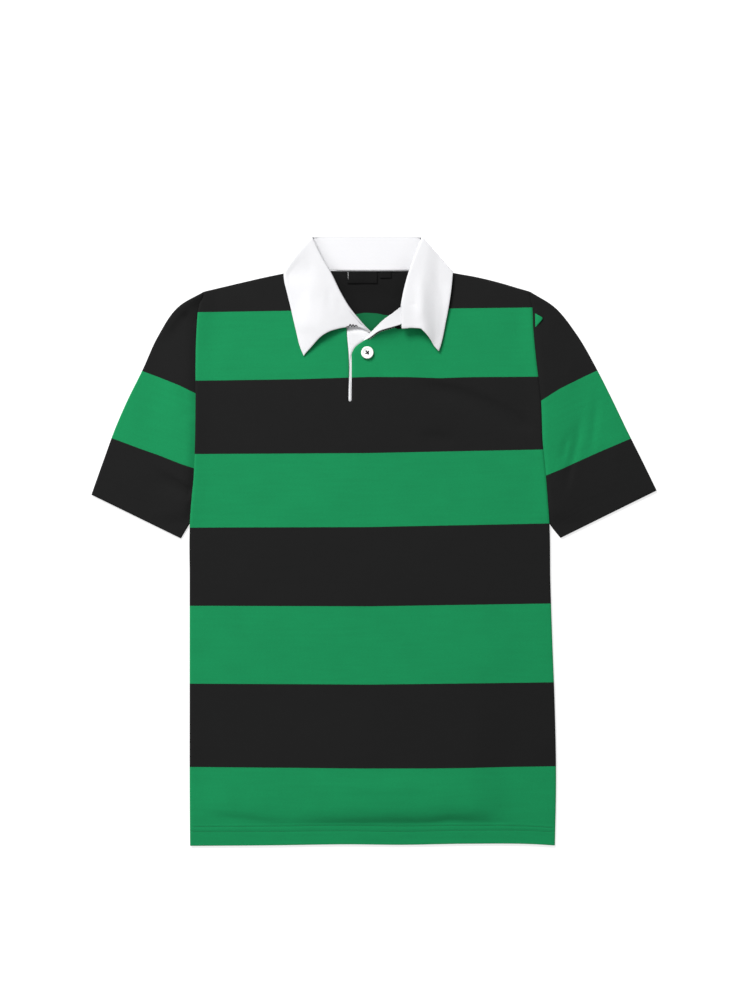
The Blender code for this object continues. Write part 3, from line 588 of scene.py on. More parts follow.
def sideways(path, side):
    """Unit vectors square to a path, on its left (side 1) or on its right (side -1)."""
    way = unit(np.gradient(path[:, :2], axis=0))
    return side * np.stack([-way[:, 1], way[:, 0]], axis=1)


def joined(grid, *columns):
    """Adds a number to each point for each of the columns."""
    return np.concatenate([grid, *(np.broadcast_to(c, grid.shape[:-1])[..., None] for c in columns)], axis=-1)


def rounded_patch(edges, **weights):
    """The grid that fills four edges, with narrow columns or rows that turn the named ones down. A weight
    fades the turn along its edge. The third number of each point is how far down the turn it lies."""
    grid = joined(patch(*edges), 0.0)
    for side, weight in weights.items():
        turned = {"left": grid, "right": grid[:, ::-1], "top": np.swapaxes(grid[::-1], 0, 1)}[side]
        first = turned[:, 0]
        way = turned[:, 1] - first
        room = np.linalg.norm(way[:, :2], axis=1)[:, None]
        way = way / room * np.minimum(1, EDGE_ROOM * room / EDGE_WIDTH)
        strips = []
        for share, drop in EDGE_STEPS:
            column = first + way * EDGE_WIDTH * share
            column[:, 2] = np.maximum(first[:, 2], drop * weight)
            strips.append(column)
        turned = np.concatenate([np.stack(strips, axis=1), turned[:, 1:]], axis=1)
        grid = {"left": turned, "right": turned[:, ::-1], "top": np.swapaxes(turned, 0, 1)[::-1]}[side]
    return grid


# ---- heights


def nearest(x, y, path):
    """Signed distance to a path, above 0 on its left, and how far along it the nearest point is."""
    line = along(path, LEG_STEPS * (len(path) - 1))
    run = shares(line)
    best = np.full(x.shape, np.inf)
    side = np.zeros(x.shape)
    share = np.zeros(x.shape)
    for i in range(len(line) - 1):
        dx, dy = line[i + 1] - line[i]
        t = np.clip(((x - line[i, 0]) * dx + (y - line[i, 1]) * dy) / (dx * dx + dy * dy), 0, 1)
        off_x = x - line[i, 0] - t * dx
        off_y = y - line[i, 1] - t * dy
        off = np.hypot(off_x, off_y)
        nearer = off < best
        best = np.where(nearer, off, best)
        side = np.where(nearer, np.sign(dx * off_y - dy * off_x), side)
        share = np.where(nearer, run[i] + t * (run[i + 1] - run[i]), share)
    return best * side, share


def folds(x, y, table):
    """The sum of soft ridges and troughs, each steeper on its narrow side and fading at its ends."""
    total = np.zeros(x.shape)
    for path, left_width, right_width, height, fade_in, fade_out in table:
        off, share = nearest(x, y, path)
        ends = smoothstep(share / fade_in) * smoothstep((1 - share) / fade_out)
        if left_width and right_width:
            shape = np.exp(-((off / np.where(off > 0, left_width, right_width)) ** 2))
        else:
            width = left_width or -right_width
            up = np.logaddexp(0, off * np.sign(width) / FOOT_ROUND) * FOOT_ROUND / abs(width)
            shape = (1 - np.exp(-up)) * np.exp(-up / STEP_REACH)
        total += height * ends * shape
    return total


def waves(x, y):
    total = np.zeros(np.shape(x))
    turn = 2 * math.pi
    for period_x, period_y, phase, height in WAVES:
        bend = WAVE_BEND * np.sin(turn * y / (WAVE_BEND_LENGTH * period_x) + phase)
        total += height * np.sin(turn * x / period_x + phase + bend) * np.cos(turn * y / period_y + 2 * phase)
    return total


def back_level(x, y):
    """The back lies on the surface and rises over the collar leaf folded under its neck."""
    low_x, high_x, low_y = LEAF_UNDER
    beyond = np.maximum(np.maximum(low_x - x, x - high_x), 0)
    away = np.hypot(beyond, np.maximum(low_y - y, 0))
    return BACK_LEVEL + (LEAF_BACK_LEVEL * 2 + GAP) * smoothstep(1 - away / LEAF_SLOPE)


def from_hem(x, y):
    return y - read(HEM, x)


def edge_x(y, column):
    """The body's outline at height y."""
    return read(BODY_EDGES, y, column + 1)


def front_level(x, y):
    """The front lies over the back and rises towards the neck, where the placket lies under it."""
    aside = np.maximum(np.abs(x - NECK_MIDDLE) - NECK_HALF_WIDTH, 0)
    near_neck = smoothstep(1 - np.hypot(aside, np.maximum(NECK_FROM_Y - y, 0)) / NECK_SLOPE)
    level = FRONT_LEVEL + NECK_RISE * near_neck
    in_from_edge = np.minimum(x - edge_x(y, 0), edge_x(y, 1) - x)
    over_sleeve = smoothstep((y - UNDERARM + ROLL_FADE) / OVER_SLEEVE_FADE)
    level += ARMHOLE_RAISE * over_sleeve * smoothstep(1 - in_from_edge / ARMHOLE_RAISE_WIDTH)
    level -= ARMHOLE_ROUND * over_sleeve * smoothstep(1 - in_from_edge / ARMHOLE_ROUND_WIDTH)
    from_seam, share = nearest(x, y, FLAP_NECK[2:] + NECK_LEFT[1:3])
    before, fade_in, fade_out = NECK_LIFT_FADE
    lifted = smoothstep((share + before) / fade_in) * smoothstep((1 - share) / fade_out)
    level += NECK_LIFT * lifted * np.exp(-np.abs(from_seam) / NECK_LIFT_WIDTH)
    up = from_hem(x, y)
    level -= HEM_SINK * smoothstep(1 - up / HEM_SINK_LENGTH)
    calm = smoothstep(up / HEM_CALM) * smoothstep((SHOULDER_TIP + SHOULDER_CALM[0] - y) / SHOULDER_CALM[1])
    return level + calm * (1 - NECK_CALM * near_neck) * waves(x, y) + folds(x, y, FRONT_FOLDS)


def groove(off):
    """The shape that a row of stitches draws in the cloth, by the distance from the row."""
    return np.exp(-((off / GROOVE_WIDTH) ** 2))


def hem_grooves(x, y):
    """The two rows of stitches draw the hem down, and its turned-up cloth ends above them."""
    up = from_hem(x, y)
    rows = [read_straight(HEM_ROWS, x, row) for row in (1, 2)]
    grooves = sum(-HEM_GROOVE * groove(up - row) for row in rows)
    height, above, width = HEM_STEP
    return grooves + height * smoothstep((rows[1] + above - up) / width)


def turned_down(x, y, level, seam, drop):
    return np.stack([x, y, level + (seam - level) * drop], axis=2)


def front_height(grid):
    x, y, drop = np.moveaxis(grid, 2, 0)
    under = back_level(x, y)
    level = np.maximum(front_level(x, y) + hem_grooves(x, y), under + JERSEY + LAYER_GAP)
    return turned_down(x, y, level, (level + under) / 2 + SEAM_HALF_GAP, drop)


def back_height(grid):
    x, y, drop = np.moveaxis(grid, 2, 0)
    level = back_level(x, y)
    over = FRONT_LEVEL - HEM_SINK * smoothstep(1 - from_hem(x, y) / HEM_SINK_LENGTH)
    return turned_down(x, y, level, (level + over) / 2 - SEAM_HALF_GAP, drop)


# ---- hoops as lengthwise coordinates


def line_y(points, x):
    """Height of a line at x, carried on straight past its ends."""
    px, py = np.array(sorted(points), float).T
    low = (py[1] - py[0]) / (px[1] - px[0])
    high = (py[-1] - py[-2]) / (px[-1] - px[-2])
    return np.interp(x, px, py) + np.minimum(x - px[0], 0) * low + np.maximum(x - px[-1], 0) * high


def course(x, y, lines, marks):
    """The knit's lengthwise coordinate: marks at the given lines, even between them."""
    lows = [line_y(line, x) for line in lines]
    scale = (marks[0] - marks[-1]) / (lows[0] - lows[-1])
    value = marks[0] + (y - lows[0]) * scale
    for upper in range(len(lines) - 1):
        lower = upper + 1
        share = (y - lows[lower]) / (lows[upper] - lows[lower])
        value = np.where(y <= lows[upper], marks[lower] + share * (marks[upper] - marks[lower]), value)
    return np.where(y <= lows[-1], marks[-1] + (y - lows[-1]) * scale, value)


def marks_of(lines, tilt=0.0):
    return [float(np.mean([y for _, y in line])) * math.cos(tilt) for line in lines]


# Each cloth's tilt, its hoop lines, and the marks that its knit has there
FRONT_MARKS = marks_of(FRONT_HOOPS)
KNITS = {
    "front": (0.0, FRONT_HOOPS, FRONT_MARKS),
    "back": (0.0, (BACK_TOP_HOOP,) + FRONT_HOOPS[1:], FRONT_MARKS),
    "sleeve_right": (SLEEVE_TILT, SLEEVE_RIGHT_HOOPS, marks_of(SLEEVE_RIGHT_HOOPS, SLEEVE_TILT)),
    "sleeve_left": (-SLEEVE_TILT, SLEEVE_LEFT_HOOPS, marks_of(SLEEVE_LEFT_HOOPS, SLEEVE_TILT)),
    "plain": (0.0, (), ()),
}


def with_grain(grid, kind):
    """Adds the cloth's own coordinates to each point, in millimetres: across the wales, along them."""
    x, y = grid[..., 0], grid[..., 1]
    tilt, lines, marks = KNITS[kind]
    u = x * math.cos(tilt) - y * math.sin(tilt)
    return joined(grid, u, course(x, y, lines, marks) if lines else y)


# ---- the cut pieces


def body_edge(y, column):
    """Points of the body's edge at heights y, inside the outline by half the cloth."""
    return np.stack([edge_x(y, column) + (-1 if column else 1) * JERSEY / 2, y], axis=1)


def foot_corners():
    """The body's edges at the height of the slit's foot."""
    return [body_edge(np.array([SLIT_FOOT_Y]), column)[0] for column in (0, 1)]


def lower_patch(split, cell, hem_fine):
    """A body panel below the slit's foot, with its rows close together near the hem if asked."""
    low = BODY_EDGES[0][0]
    start = np.array([low])
    if hem_fine:
        near = np.arange(low + 2 * HEM_CELL, low + HEM_FINE, HEM_CELL)
        crease = np.arange(near[-1] + CREASE_CELL, low + CREASE_FINE, CREASE_CELL)
        start = np.concatenate([start, near, crease])
    rest = np.linspace(start[-1], SLIT_FOOT_Y, steps_for(SLIT_FOOT_Y - start[-1], cell) + 1)
    y = np.concatenate([start, rest[1:]])
    right, left = (body_edge(y, column) for column in (0, 1))
    share = (split[:, 0] - split[0, 0]) / (split[-1, 0] - split[0, 0])
    hem_x = HEM[0][0] + JERSEY / 2 + (HEM[-1][0] - HEM[0][0] - JERSEY) * share
    hem = np.stack([hem_x, read(HEM, hem_x) + JERSEY / 2], axis=1)
    right[0] = hem[0]
    left[0] = hem[-1]
    # The side seam turns down, and less so towards the underarm, where the sleeve carries on
    weight = smoothstep((UNDERARM - y) / ROLL_FADE)
    return rounded_patch((hem, split, right, left), left=weight, right=weight)


def yoke(column, y, split, shoulder, neck):
    """One side of the front above the slit's foot. column is 0 for the right side, 1 for the left."""
    tip, throat = (-1, 0) if column else (0, -1)
    armhole = body_edge(y, column)
    shoulder = along(shoulder, len(split) - 1)
    shoulder[:, 1] -= JERSEY / 2
    shoulder[tip] = armhole[-1] = (armhole[-1, 0], shoulder[tip, 1])
    neck[-1] = shoulder[throat]
    if column:
        return rounded_patch((split, shoulder, neck, armhole), top=1, right=0)
    return rounded_patch((split, shoulder, armhole, neck), top=1, left=0)


def front_grids():
    """The front in three patches: below the slit, and each side of it up to the shoulder."""
    (low_x, _), (high_x, _) = foot_corners()
    slit_low, slit_high = SLIT_RIGHT[0][0], SLIT_LEFT[0][0]
    right_columns = steps_for(slit_low - low_x)
    left_columns = steps_for(high_x - slit_high)
    angles = np.linspace(math.pi, 0, SLIT_COLUMNS + 1)[1:-1]
    half = (slit_high - slit_low) / 2
    right_x = np.linspace(low_x, slit_low, right_columns + 1)
    foot_x = (slit_low + slit_high) / 2 + half * np.cos(angles)
    left_x = np.linspace(slit_high, high_x, left_columns + 1)
    split = joined(np.concatenate([right_x, foot_x, left_x])[:, None], SLIT_FOOT_Y)
    split[right_columns + 1 : right_columns + SLIT_COLUMNS, 1] -= half * np.sin(angles)

    rows = steps_for(SHOULDER_TIP - SLIT_FOOT_Y, YOKE_CELL)
    y = np.linspace(SLIT_FOOT_Y, SHOULDER_TIP, rows + 1)
    slit_rows = round(rows * SLIT_SHARE_RIGHT)
    neck = chain((SLIT_RIGHT, slit_rows), (NECK_RIGHT, rows - slit_rows))
    right = yoke(0, y, split[: right_columns + 1], SHOULDER_RIGHT, neck)
    slit_rows, flap_rows = (round(rows * share) for share in SLIT_SHARES_LEFT)
    neck = chain((SLIT_LEFT, slit_rows), (FLAP_NECK, flap_rows), (NECK_LEFT, rows - slit_rows - flap_rows))
    left = yoke(1, y, split[right_columns + SLIT_COLUMNS :], SHOULDER_LEFT[::-1], neck)
    return [with_grain(front_height(grid), "front") for grid in (lower_patch(split, CELL, True), right, left)]


def back_grids():
    """The back in two patches that meet at the height of the slit's foot."""
    columns = [steps_for(*run) for run in BACK_RUNS]
    low, high = foot_corners()
    split = low + (high - low) * np.linspace(0, 1, sum(columns) + 1)[:, None]
    y = np.linspace(SLIT_FOOT_Y, SHOULDER_TIP, steps_for(SHOULDER_TIP - SLIT_FOOT_Y, BACK_CELL) + 1)
    armholes = [body_edge(y, column) for column in (0, 1)]
    top = chain(*zip((SHOULDER_RIGHT, NECK_BACK, SHOULDER_LEFT[::-1]), columns))
    top[:, 1] -= JERSEY / 2
    for armhole, end in zip(armholes, (0, -1)):
        top[end, 0] = armhole[-1, 0]
        armhole[-1] = top[end]
    shoulder = np.ones(len(top))
    shoulder[columns[0] + 1 : -columns[2] - 1] = 0
    upper = rounded_patch((split, top, *armholes), top=shoulder, left=0, right=0)
    return [with_grain(back_height(grid), "back") for grid in (lower_patch(split, BACK_CELL, False), upper)]


def sleeve_grids(table, column, fold_table, kind):
    """A sleeve's two layers, which share their edges at mid-height and so make one tube."""
    edges = along(table, SLEEVE_ROWS)
    y = np.linspace(table[0][3] + JERSEY / 2, table[0][1] - JERSEY / 2, SLEEVE_COLUMNS + 1)
    outward = 1 if column else -1
    armhole = np.stack([edge_x(y, column) + outward * GAP / 2, y], axis=1)
    inset = unit(edges[:, :2] - edges[:, 2:]) * JERSEY / 2
    over = edges[:, :2] - inset
    under = edges[:, 2:] + inset
    over[0] = armhole[-1]
    under[0] = armhole[0]
    cuff_way = over[-1] - under[-1]
    cuff = under[-1] + cuff_way * np.linspace(0, 1, len(armhole))[:, None]
    x, y, drop = np.moveaxis(rounded_patch((armhole, cuff, under, over), left=1, right=1), 2, 0)
    cuff_way = unit(cuff_way)
    from_cuff = np.abs((x - under[-1, 0]) * cuff_way[1] - (y - under[-1, 1]) * cuff_way[0])
    from_seam = np.maximum(outward * (x - read_straight(BODY_EDGES, y, column + 1)), 0)
    sink = CUFF_SINK * smoothstep(1 - from_cuff / HEM_SINK_LENGTH)
    dip = SLEEVE_DIP[column] * np.exp(-((from_seam / SLEEVE_DIP_WIDTH[column]) ** 2))
    height, reach, slope = SLEEVE_SHOULDER
    shoulder = height * smoothstep((reach - from_seam) / slope)
    near_body = smoothstep((y - UNDERARM) / SLEEVE_FADE)
    below_tip = smoothstep((SHOULDER_TIP - TUCK_INSET - y) / SLEEVE_FADE)
    scale, shift, share = SLEEVE_WAVES
    level = SLEEVE_LEVEL - sink + (shoulder - dip * below_tip) * near_body
    level += share * waves(x * scale + shift, y * scale)
    level += folds(x, y, fold_table)
    for row in CUFF_ROWS:
        level -= CUFF_GROOVE * groove(from_cuff - row)
    level = np.maximum(level, BACK_LEVEL + JERSEY + LAYER_GAP)
    middle = (SLEEVE_LEVEL - sink + BACK_LEVEL) / 2
    above_underarm = smoothstep((y - UNDERARM - TUCK_INSET) / SLEEVE_FADE)
    tuck = SLEEVE_TUCK * np.exp(-from_seam / SLEEVE_TUCK_WIDTH) * (1 - drop) * above_underarm * below_tip
    front = with_grain(turned_down(x - outward * tuck, y, level, middle, drop), kind)
    back = with_grain(turned_down(x, y, BACK_LEVEL, middle, drop), kind)
    return [front, back[:, ::-1]]


# ---- the collar


def rolled_over(centre, way, bulge, stand_z, leaf_z):
    """The half turn from the stand over the roll line to the leaf, at each station of the collar."""
    angles = np.radians(np.linspace(-90, 90, ARC_ROWS + 1))[None, :, None]
    flat = centre[:, None] + way[:, None] * bulge[:, None, None] * np.cos(angles)
    z = (leaf_z + stand_z)[:, None, None] / 2 + (leaf_z - stand_z)[:, None, None] / 2 * np.sin(angles)
    return np.concatenate([flat, z], axis=2)


def turned(front_row, back_row, front_out, back_out):
    """The rows that carry the cloth round a flattened fold, from its front layer to its back layer."""
    angles = np.radians(TURN_ANGLES)[:, None, None]
    share = (1 + np.sin(angles)) / 2
    rows = front_row * share + back_row * (1 - share)
    rows[..., :2] += FOLD_REACH * np.cos(angles) * (front_out * share + back_out * (1 - share))
    return rows


def drawn_in(path, side):
    """A path moved to one side by half the collar's cloth, whose rim then reaches the path itself."""
    return path + sideways(path, side) * TWILL / 2


def ways_in(roll, outer, side):
    """How the roll line and the outer edge run in from the shoulder fold, scaled to 1 square to it, and
    their points where the cloth starts to turn round it."""
    inward = sideways(np.array([outer[-1], roll[-1]], float), side)[0]
    ways = [unit(np.subtract(line[-2], line[-1])) for line in (roll, outer)]
    ways = [way / (way @ inward) for way in ways]
    return ways, [line[-1] + way * (FOLD_REACH + TWILL / 2) for line, way in zip((roll, outer), ways)]


def fold_line(start, end, w, side):
    """A shoulder fold from the roll line to the outer edge. The right one bows outwards."""
    way = end - start
    across = unit(np.array([way[1], -way[0]]))
    bow = FOLD_BOW_RIGHT if side < 0 else 0.0
    return start + way * w + across * bow * np.sin(math.pi * w)


def stand_rows(low, high):
    """The stand's points from its seam to its upper edge, at each station."""
    s = STAND_SHARES[:, None]
    return low[:, None] * (1 - s) + high[:, None] * s


def collar_front(side, roll, outer, front_edge, free_steps, neck, neck_end, rise, lift, seam_rise):
    """One front of the collar, from its front end to the shoulder fold: rows of stand and of leaf, and
    of the leaf past the front end of the roll line if it has a free edge there."""
    steps = FRONT_STATIONS
    stand_z, leaf_z = along([(i, 0, *row) for i, row in enumerate(rise)], steps)[:, 2:].T
    _, (roll_end, outer_end) = ways_in(roll, outer, side)
    roll = along([*roll[:-1], roll_end], steps)
    outer = drawn_in(along([*outer[:-1], outer_end], steps + free_steps), side)
    front_edge = drawn_in(front_edge, side)
    t = np.linspace(0, 1, steps + 1)
    bulge = ROLL_BULGE * (ROLL_BULGE_FROM + (1 - ROLL_BULGE_FROM) * smoothstep(t / ROLL_BULGE_WITHIN))
    way = sideways(roll, side)
    centre = roll - way * (bulge + TWILL / 2)[:, None]

    inner, inner_z = centre, leaf_z
    if free_steps:
        share = np.linspace(0, 1, free_steps + 1)[:-1]
        inner = np.concatenate([front_edge[0] + (centre[0] - front_edge[0]) * share[:, None], centre])
        inner_z = np.concatenate([LEAF_CORNER_LEVEL + (leaf_z[0] - LEAF_CORNER_LEVEL) * share, leaf_z])
    front_edge[0] = inner[0]
    outer[0] = front_edge[-1] = (outer[0] + front_edge[-1]) / 2
    w = np.linspace(0, 1, LEAF_ROWS + 1)
    flat = patch(front_edge, fold_line(centre[-1], outer[-1], w[:, None], side), inner, outer)
    station = np.linspace(0, 1, steps + free_steps + 1)[:, None]
    if side > 0:
        even, fall_from, fall_length, shift = LEAF_FALL_LEFT
        slope = even * w + (1 - even) * smoothstep((w - fall_from - shift * station) / fall_length)
    else:
        plateau, power = LEAF_FALL_RIGHT
        slope = (np.maximum(w - plateau, 0) / (1 - plateau)) ** power
    z = inner_z[:, None] * (1 - slope) + LEAF_EDGE_LEVEL[side > 0] * slope
    z += read(lift, w) * smoothstep(1 - station / LIFT_REACH)
    crease_roll, crease_fold = LEAF_CREASE_FADE
    creases = folds(flat[:, :, 0], flat[:, :, 1], LEAF_FOLDS)
    z += creases * np.minimum(w / crease_roll, 1) * smoothstep((1 - station) / crease_fold)
    flat = joined(flat, z)
    arc = rolled_over(centre, way, bulge, stand_z, leaf_z)
    arc[:, -1] = flat[free_steps:, 0]
    leaf = np.concatenate([arc, flat[free_steps:, 1:]], axis=1)

    neck = along(neck, steps)
    neck[-1] = neck_end
    seam_z = STAND_FRONT_LEVEL + seam_rise * smoothstep(1 - t / SEAM_RISE_SHARE)
    stand = stand_rows(joined(neck + sideways(neck, side) * GAP, seam_z), joined(centre, stand_z))
    if not free_steps:
        height, share = STAND_BOW
        stand[:, :, 1] += height * np.sin(math.pi * STAND_SHARES) * smoothstep(1 - t[:, None] / share)
    return stand, leaf, flat[: free_steps + 1]


def collar_back(stands):
    """The back of the collar between its two folds: the stand lies on the leaf, which lies flat."""
    seam = along(NECK_BACK, BACK_STATIONS)
    seam[:, 1] += GAP
    ways, corners = [], []
    for (side, roll, outer), stand, end in zip(COLLAR_SIDES, stands, (0, -1)):
        way, corner = ways_in(((0.0, roll[-1][1]), roll[-1]), (OUTER_BACK[end], outer[-1]), side)
        ways.append(way)
        corners.append(corner)
        seam[end] = stand[-1, 0, :2]
    x = np.linspace(corners[0][0][0], corners[1][0][0], BACK_STATIONS + 1)
    roll = joined(x[:, None], ROLL_BACK_Y)
    way = np.broadcast_to((0.0, 1.0), roll.shape)
    centre = roll - way * (ROLL_BULGE_BACK + TWILL / 2)
    outer = drawn_in(along([corners[0][1], *OUTER_BACK, corners[1][1]], BACK_STATIONS), 1)
    w = np.linspace(0, 1, LEAF_ROWS + 1)[:, None]
    sides = [fold_line(centre[end], outer[end], w, side)[::-1] for end, side in ((0, -1), (-1, 1))]
    flat = joined(np.swapaxes(patch(outer, centre, *sides)[::-1], 0, 1), LEAF_BACK_LEVEL)
    levels = [np.full(len(x), level) for level in (ROLL_BULGE_BACK, STAND_BACK_ROLL, LEAF_BACK_LEVEL)]
    arc = rolled_over(centre, way, *levels)
    arc[:, -1] = flat[:, 0]
    leaf = np.concatenate([arc, flat[:, 1:]], axis=1)

    s = STAND_SHARES
    stand = stand_rows(joined(seam, STAND_BACK_LEVEL), joined(centre, STAND_BACK_ROLL))
    hump = STAND_BACK_LEVEL + (STAND_BACK_HUMP - STAND_BACK_LEVEL) * smoothstep(s / STAND_BACK_HUMP_SHARE)
    stand[:, :, 2] = hump - (STAND_BACK_HUMP - STAND_BACK_ROLL) * s
    for (side, roll, _), (depth, width, more_depth, more_width) in zip(COLLAR_SIDES, STAND_SINKS):
        off, _ = nearest(stand[:, :, 0], stand[:, :, 1], roll)
        near = np.exp(-((np.maximum(side * off, 0) / (width + more_width * (1 - s))) ** 2))
        stand[:, :, 2] -= (depth + more_depth * (1 - s) ** 3) * near
    stand[:, :, 2] = np.maximum(stand[:, :, 2], STAND_LOWEST)
    return stand, leaf, ways


def seen_in_place(grid):
    """Draws high points in towards the camera's axis, so that they show where the low ones would."""
    camera = np.array(CAMERA_AT) / MM
    shrink = (grid[..., 2:] - FRONT_LEVEL) / camera[2]
    return np.concatenate([grid[..., :2] - (grid[..., :2] - camera[:2]) * shrink, grid[..., 2:]], axis=-1)


def collar_grids():
    """Stand and leaf as one folded cloth, in stations from the right front end round the back to the left."""
    edge = along(FRONT_RIGHT_EDGE, LEAF_ROWS)
    stand_r, leaf_r, _ = collar_front(
        *COLLAR_SIDES[0], edge, 0, NECK_RIGHT, FOLD_SEAM_RIGHT, RISE_RIGHT, EDGE_LIFT_RIGHT, 0.0
    )
    edge = chain((FRONT_LEFT_EDGE, LEFT_EDGE_ROWS), (FRONT_LEFT_POINT, LEAF_ROWS - LEFT_EDGE_ROWS))
    stand_l, leaf_l, open_l = collar_front(
        *COLLAR_SIDES[1], edge, FREE_STATIONS, NECK_LEFT, FOLD_SEAM_LEFT, RISE_LEFT, EDGE_LIFT_LEFT, SEAM_RISE
    )
    stand_b, leaf_b, back_ways = collar_back((stand_r, stand_l))
    share = np.concatenate([np.zeros(ARC_ROWS), np.linspace(0, 1, LEAF_ROWS + 1)])[:, None]
    turns = []
    fronts = ((stand_r, leaf_r, 0), (stand_l, leaf_l, -1))
    for line, (stand, leaf, back_at), back_way in zip(COLLAR_SIDES, fronts, back_ways):
        ways = (ways_in(*line[1:], line[0])[0], back_way)
        leaf_out = [-(roll * (1 - share) + outer * share) for roll, outer in ways]
        turns.append(turned(stand[-1], stand_b[back_at], *(-roll for roll, _ in ways)))
        turns.append(turned(leaf[-1], leaf_b[back_at], *leaf_out))
    end_l = along(STAND_END_LEFT, FREE_END_STEPS)[::-1]
    end_l = stand_rows(end_l[:, :3], end_l[:, 3:])
    stand = [stand_r, turns[0], stand_b, turns[2][::-1], stand_l[::-1], end_l]
    leaf = [leaf_r, turns[1], leaf_b, turns[3][::-1], leaf_l[::-1]]
    stand, leaf, open_l = (seen_in_place(np.concatenate(grids)) for grids in (stand, leaf, [open_l[::-1]]))
    u = run_lengths(stand)[:, -1:]
    stand_v, leaf_v, open_v = (run_lengths(grid, 1) for grid in (stand, leaf, open_l))
    open_u = u[len(leaf) - 1] + run_lengths(open_l).mean(axis=1)[:, None]
    return [
        joined(stand, u, stand_v - stand_v[:, -1:]),
        joined(leaf, u[: len(leaf)], leaf_v),
        joined(open_l, open_u, leaf_v[-1, ARC_ROWS] + open_v),
    ]


# ---- small flat pieces


def placket_grid():
    """The strip under the slit. Its top edge slants along the stand's free end."""
    rows, columns = PLACKET_STEPS
    table = [(y, 0, low, high, share) for (y, low, high), share in zip(PLACKET, PLACKET_TOP_SHARE)]
    y, _, low, high, top = along(table, rows).T[..., None]
    x = low + (high - low) * np.linspace(0, 1, columns + 1)
    y = y + top * PLACKET_TOP_SLOPE * np.maximum(x - PLACKET_TOP_FROM_X, 0)
    below_leaf, _ = nearest(x, y, FRONT_RIGHT_EDGE[:7])
    under = smoothstep(1 - below_leaf / PLACKET_UNDER_LEAF)
    in_right, _ = nearest(x, y, SLIT_RIGHT)
    in_left, _ = nearest(x, y, SLIT_LEFT[:1] + FLAP_NECK)
    below, length = PLACKET_FOOT
    above_foot = smoothstep((y - SLIT_FOOT_Y + below) / length)
    height, start, width = PLACKET_PUFF
    puff = height * smoothstep((np.minimum(-in_right, in_left) + start) / width) * above_foot
    z = FRONT_LEVEL + NECK_RISE - PLACKET_BELOW - PLACKET_DIP * under + puff * (1 - PLACKET_CALM * under)
    return with_grain(np.stack([x, y, z], axis=2), "plain")


def tab_grid(sizes):
    """A small woven tab on the inside of the back. Its lower edge stands off a little."""
    low_x, high_x, low_y, high_y = sizes
    x = np.linspace(low_x, high_x, steps_for(high_x - low_x, TAB_CELL) + 1)
    y = np.linspace(low_y, high_y, steps_for(high_y - low_y, TAB_CELL) + 1)
    x, y = np.meshgrid(x, y)
    height, length, fade = TAB_RIPPLE
    ripple = height * np.sin(x / length) * smoothstep((high_y - y) / fade)
    level = tab_bottom(x, y) + TAB / 2 + (TAB_RISE * smoothstep((high_y - y) / TAB_RISE_LENGTH) + ripple)
    return with_grain(np.stack([x, y, level], axis=2), "plain")


def tab_bottom(x, y):
    return back_level(x, y) + JERSEY / 2 + TAB_GAP


def label_top(x, y):
    return tab_bottom(x, y) + TAB + LABEL_STITCH_LIFT


def neck_top(x, y):
    return cloth_top(x, y) + TAPE_STITCH_LIFT


def cloth_top(x, y):
    return front_level(x, y) + JERSEY / 2


def tape_line(stop=None):
    """The black tape's line along the neck seam of the flap, and the unit vectors square to it, outwards."""
    line = along(FLAP_NECK[2:], TAPE_STEPS)[TAPE_FROM:stop]
    return line, sideways(line, -1)


def tape_grid():
    """The narrow black tape over the flap's neck seam, wider towards the collar's end, where it is a painted
    shadow.
    """
    line, side = tape_line()
    width = read_straight(TAPE_AND_SHADOW_WIDTH, np.linspace(0, 1, len(line)))
    rows = [line + side * (width * across)[:, None] for across in np.linspace(*TAPE_ACROSS)]
    grid = np.stack(rows[::-1])
    return with_grain(joined(grid, cloth_top(grid[..., 0], grid[..., 1]) + TAPE_LIFT), "plain")


def pleat_grid():
    """The pleat of the front that lies on the left sleeve: a triangle from under the body's edge."""
    high, tip, low = np.array(PLEAT)
    share = np.linspace(0, 1, PLEAT_STEPS + 1)
    base = low + (high - low) * share[:, None, None]
    across = share[None, :, None]
    flat = base + (tip - base) * across * (1 - PLEAT_BOW * across)
    z = PLEAT_LOW + PLEAT_RISE * smoothstep((flat[..., 0] - base[0, 0, 0] - PLEAT_FROM) / PLEAT_SLOPE)
    return with_grain(joined(flat, z), "front")


# ---- meshes


def placed(name, data, at=(0, 0, 0)):
    made = bpy.data.objects.new(name, data)
    made.location = at
    bpy.context.scene.collection.objects.link(made)
    return made


def linked(name, mesh, *materials):
    for material in materials:
        mesh.materials.append(material)
    mesh.shade_smooth()
    made = placed(name, mesh)
    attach(made, "root")
    return made


def merged(grids):
    """Points of several grids with their grain coordinates, and the quads between them. Points that fall
    together become one, and quads that shrink to less than four corners are left out."""
    flat = np.concatenate([grid.reshape(-1, 5) for grid in grids])
    keys = np.round(flat[:, :3] * MERGE_STEPS).astype(np.int64)
    _, first, place = np.unique(keys, axis=0, return_index=True, return_inverse=True)
    place = place.ravel()
    quads = []
    start = 0
    for grid in grids:
        rows, columns = grid.shape[:2]
        index = place[start : start + rows * columns].reshape(rows, columns)
        start += rows * columns
        corners = [index[:-1, :-1], index[:-1, 1:], index[1:, 1:], index[1:, :-1]]
        quads.append(np.stack(corners, axis=2).reshape(-1, 4))
    quads = np.concatenate(quads)
    ordered = np.sort(quads, axis=1)
    return flat[first, :3], flat[first, 3:], quads[(ordered[:, 1:] != ordered[:, :-1]).all(axis=1)]


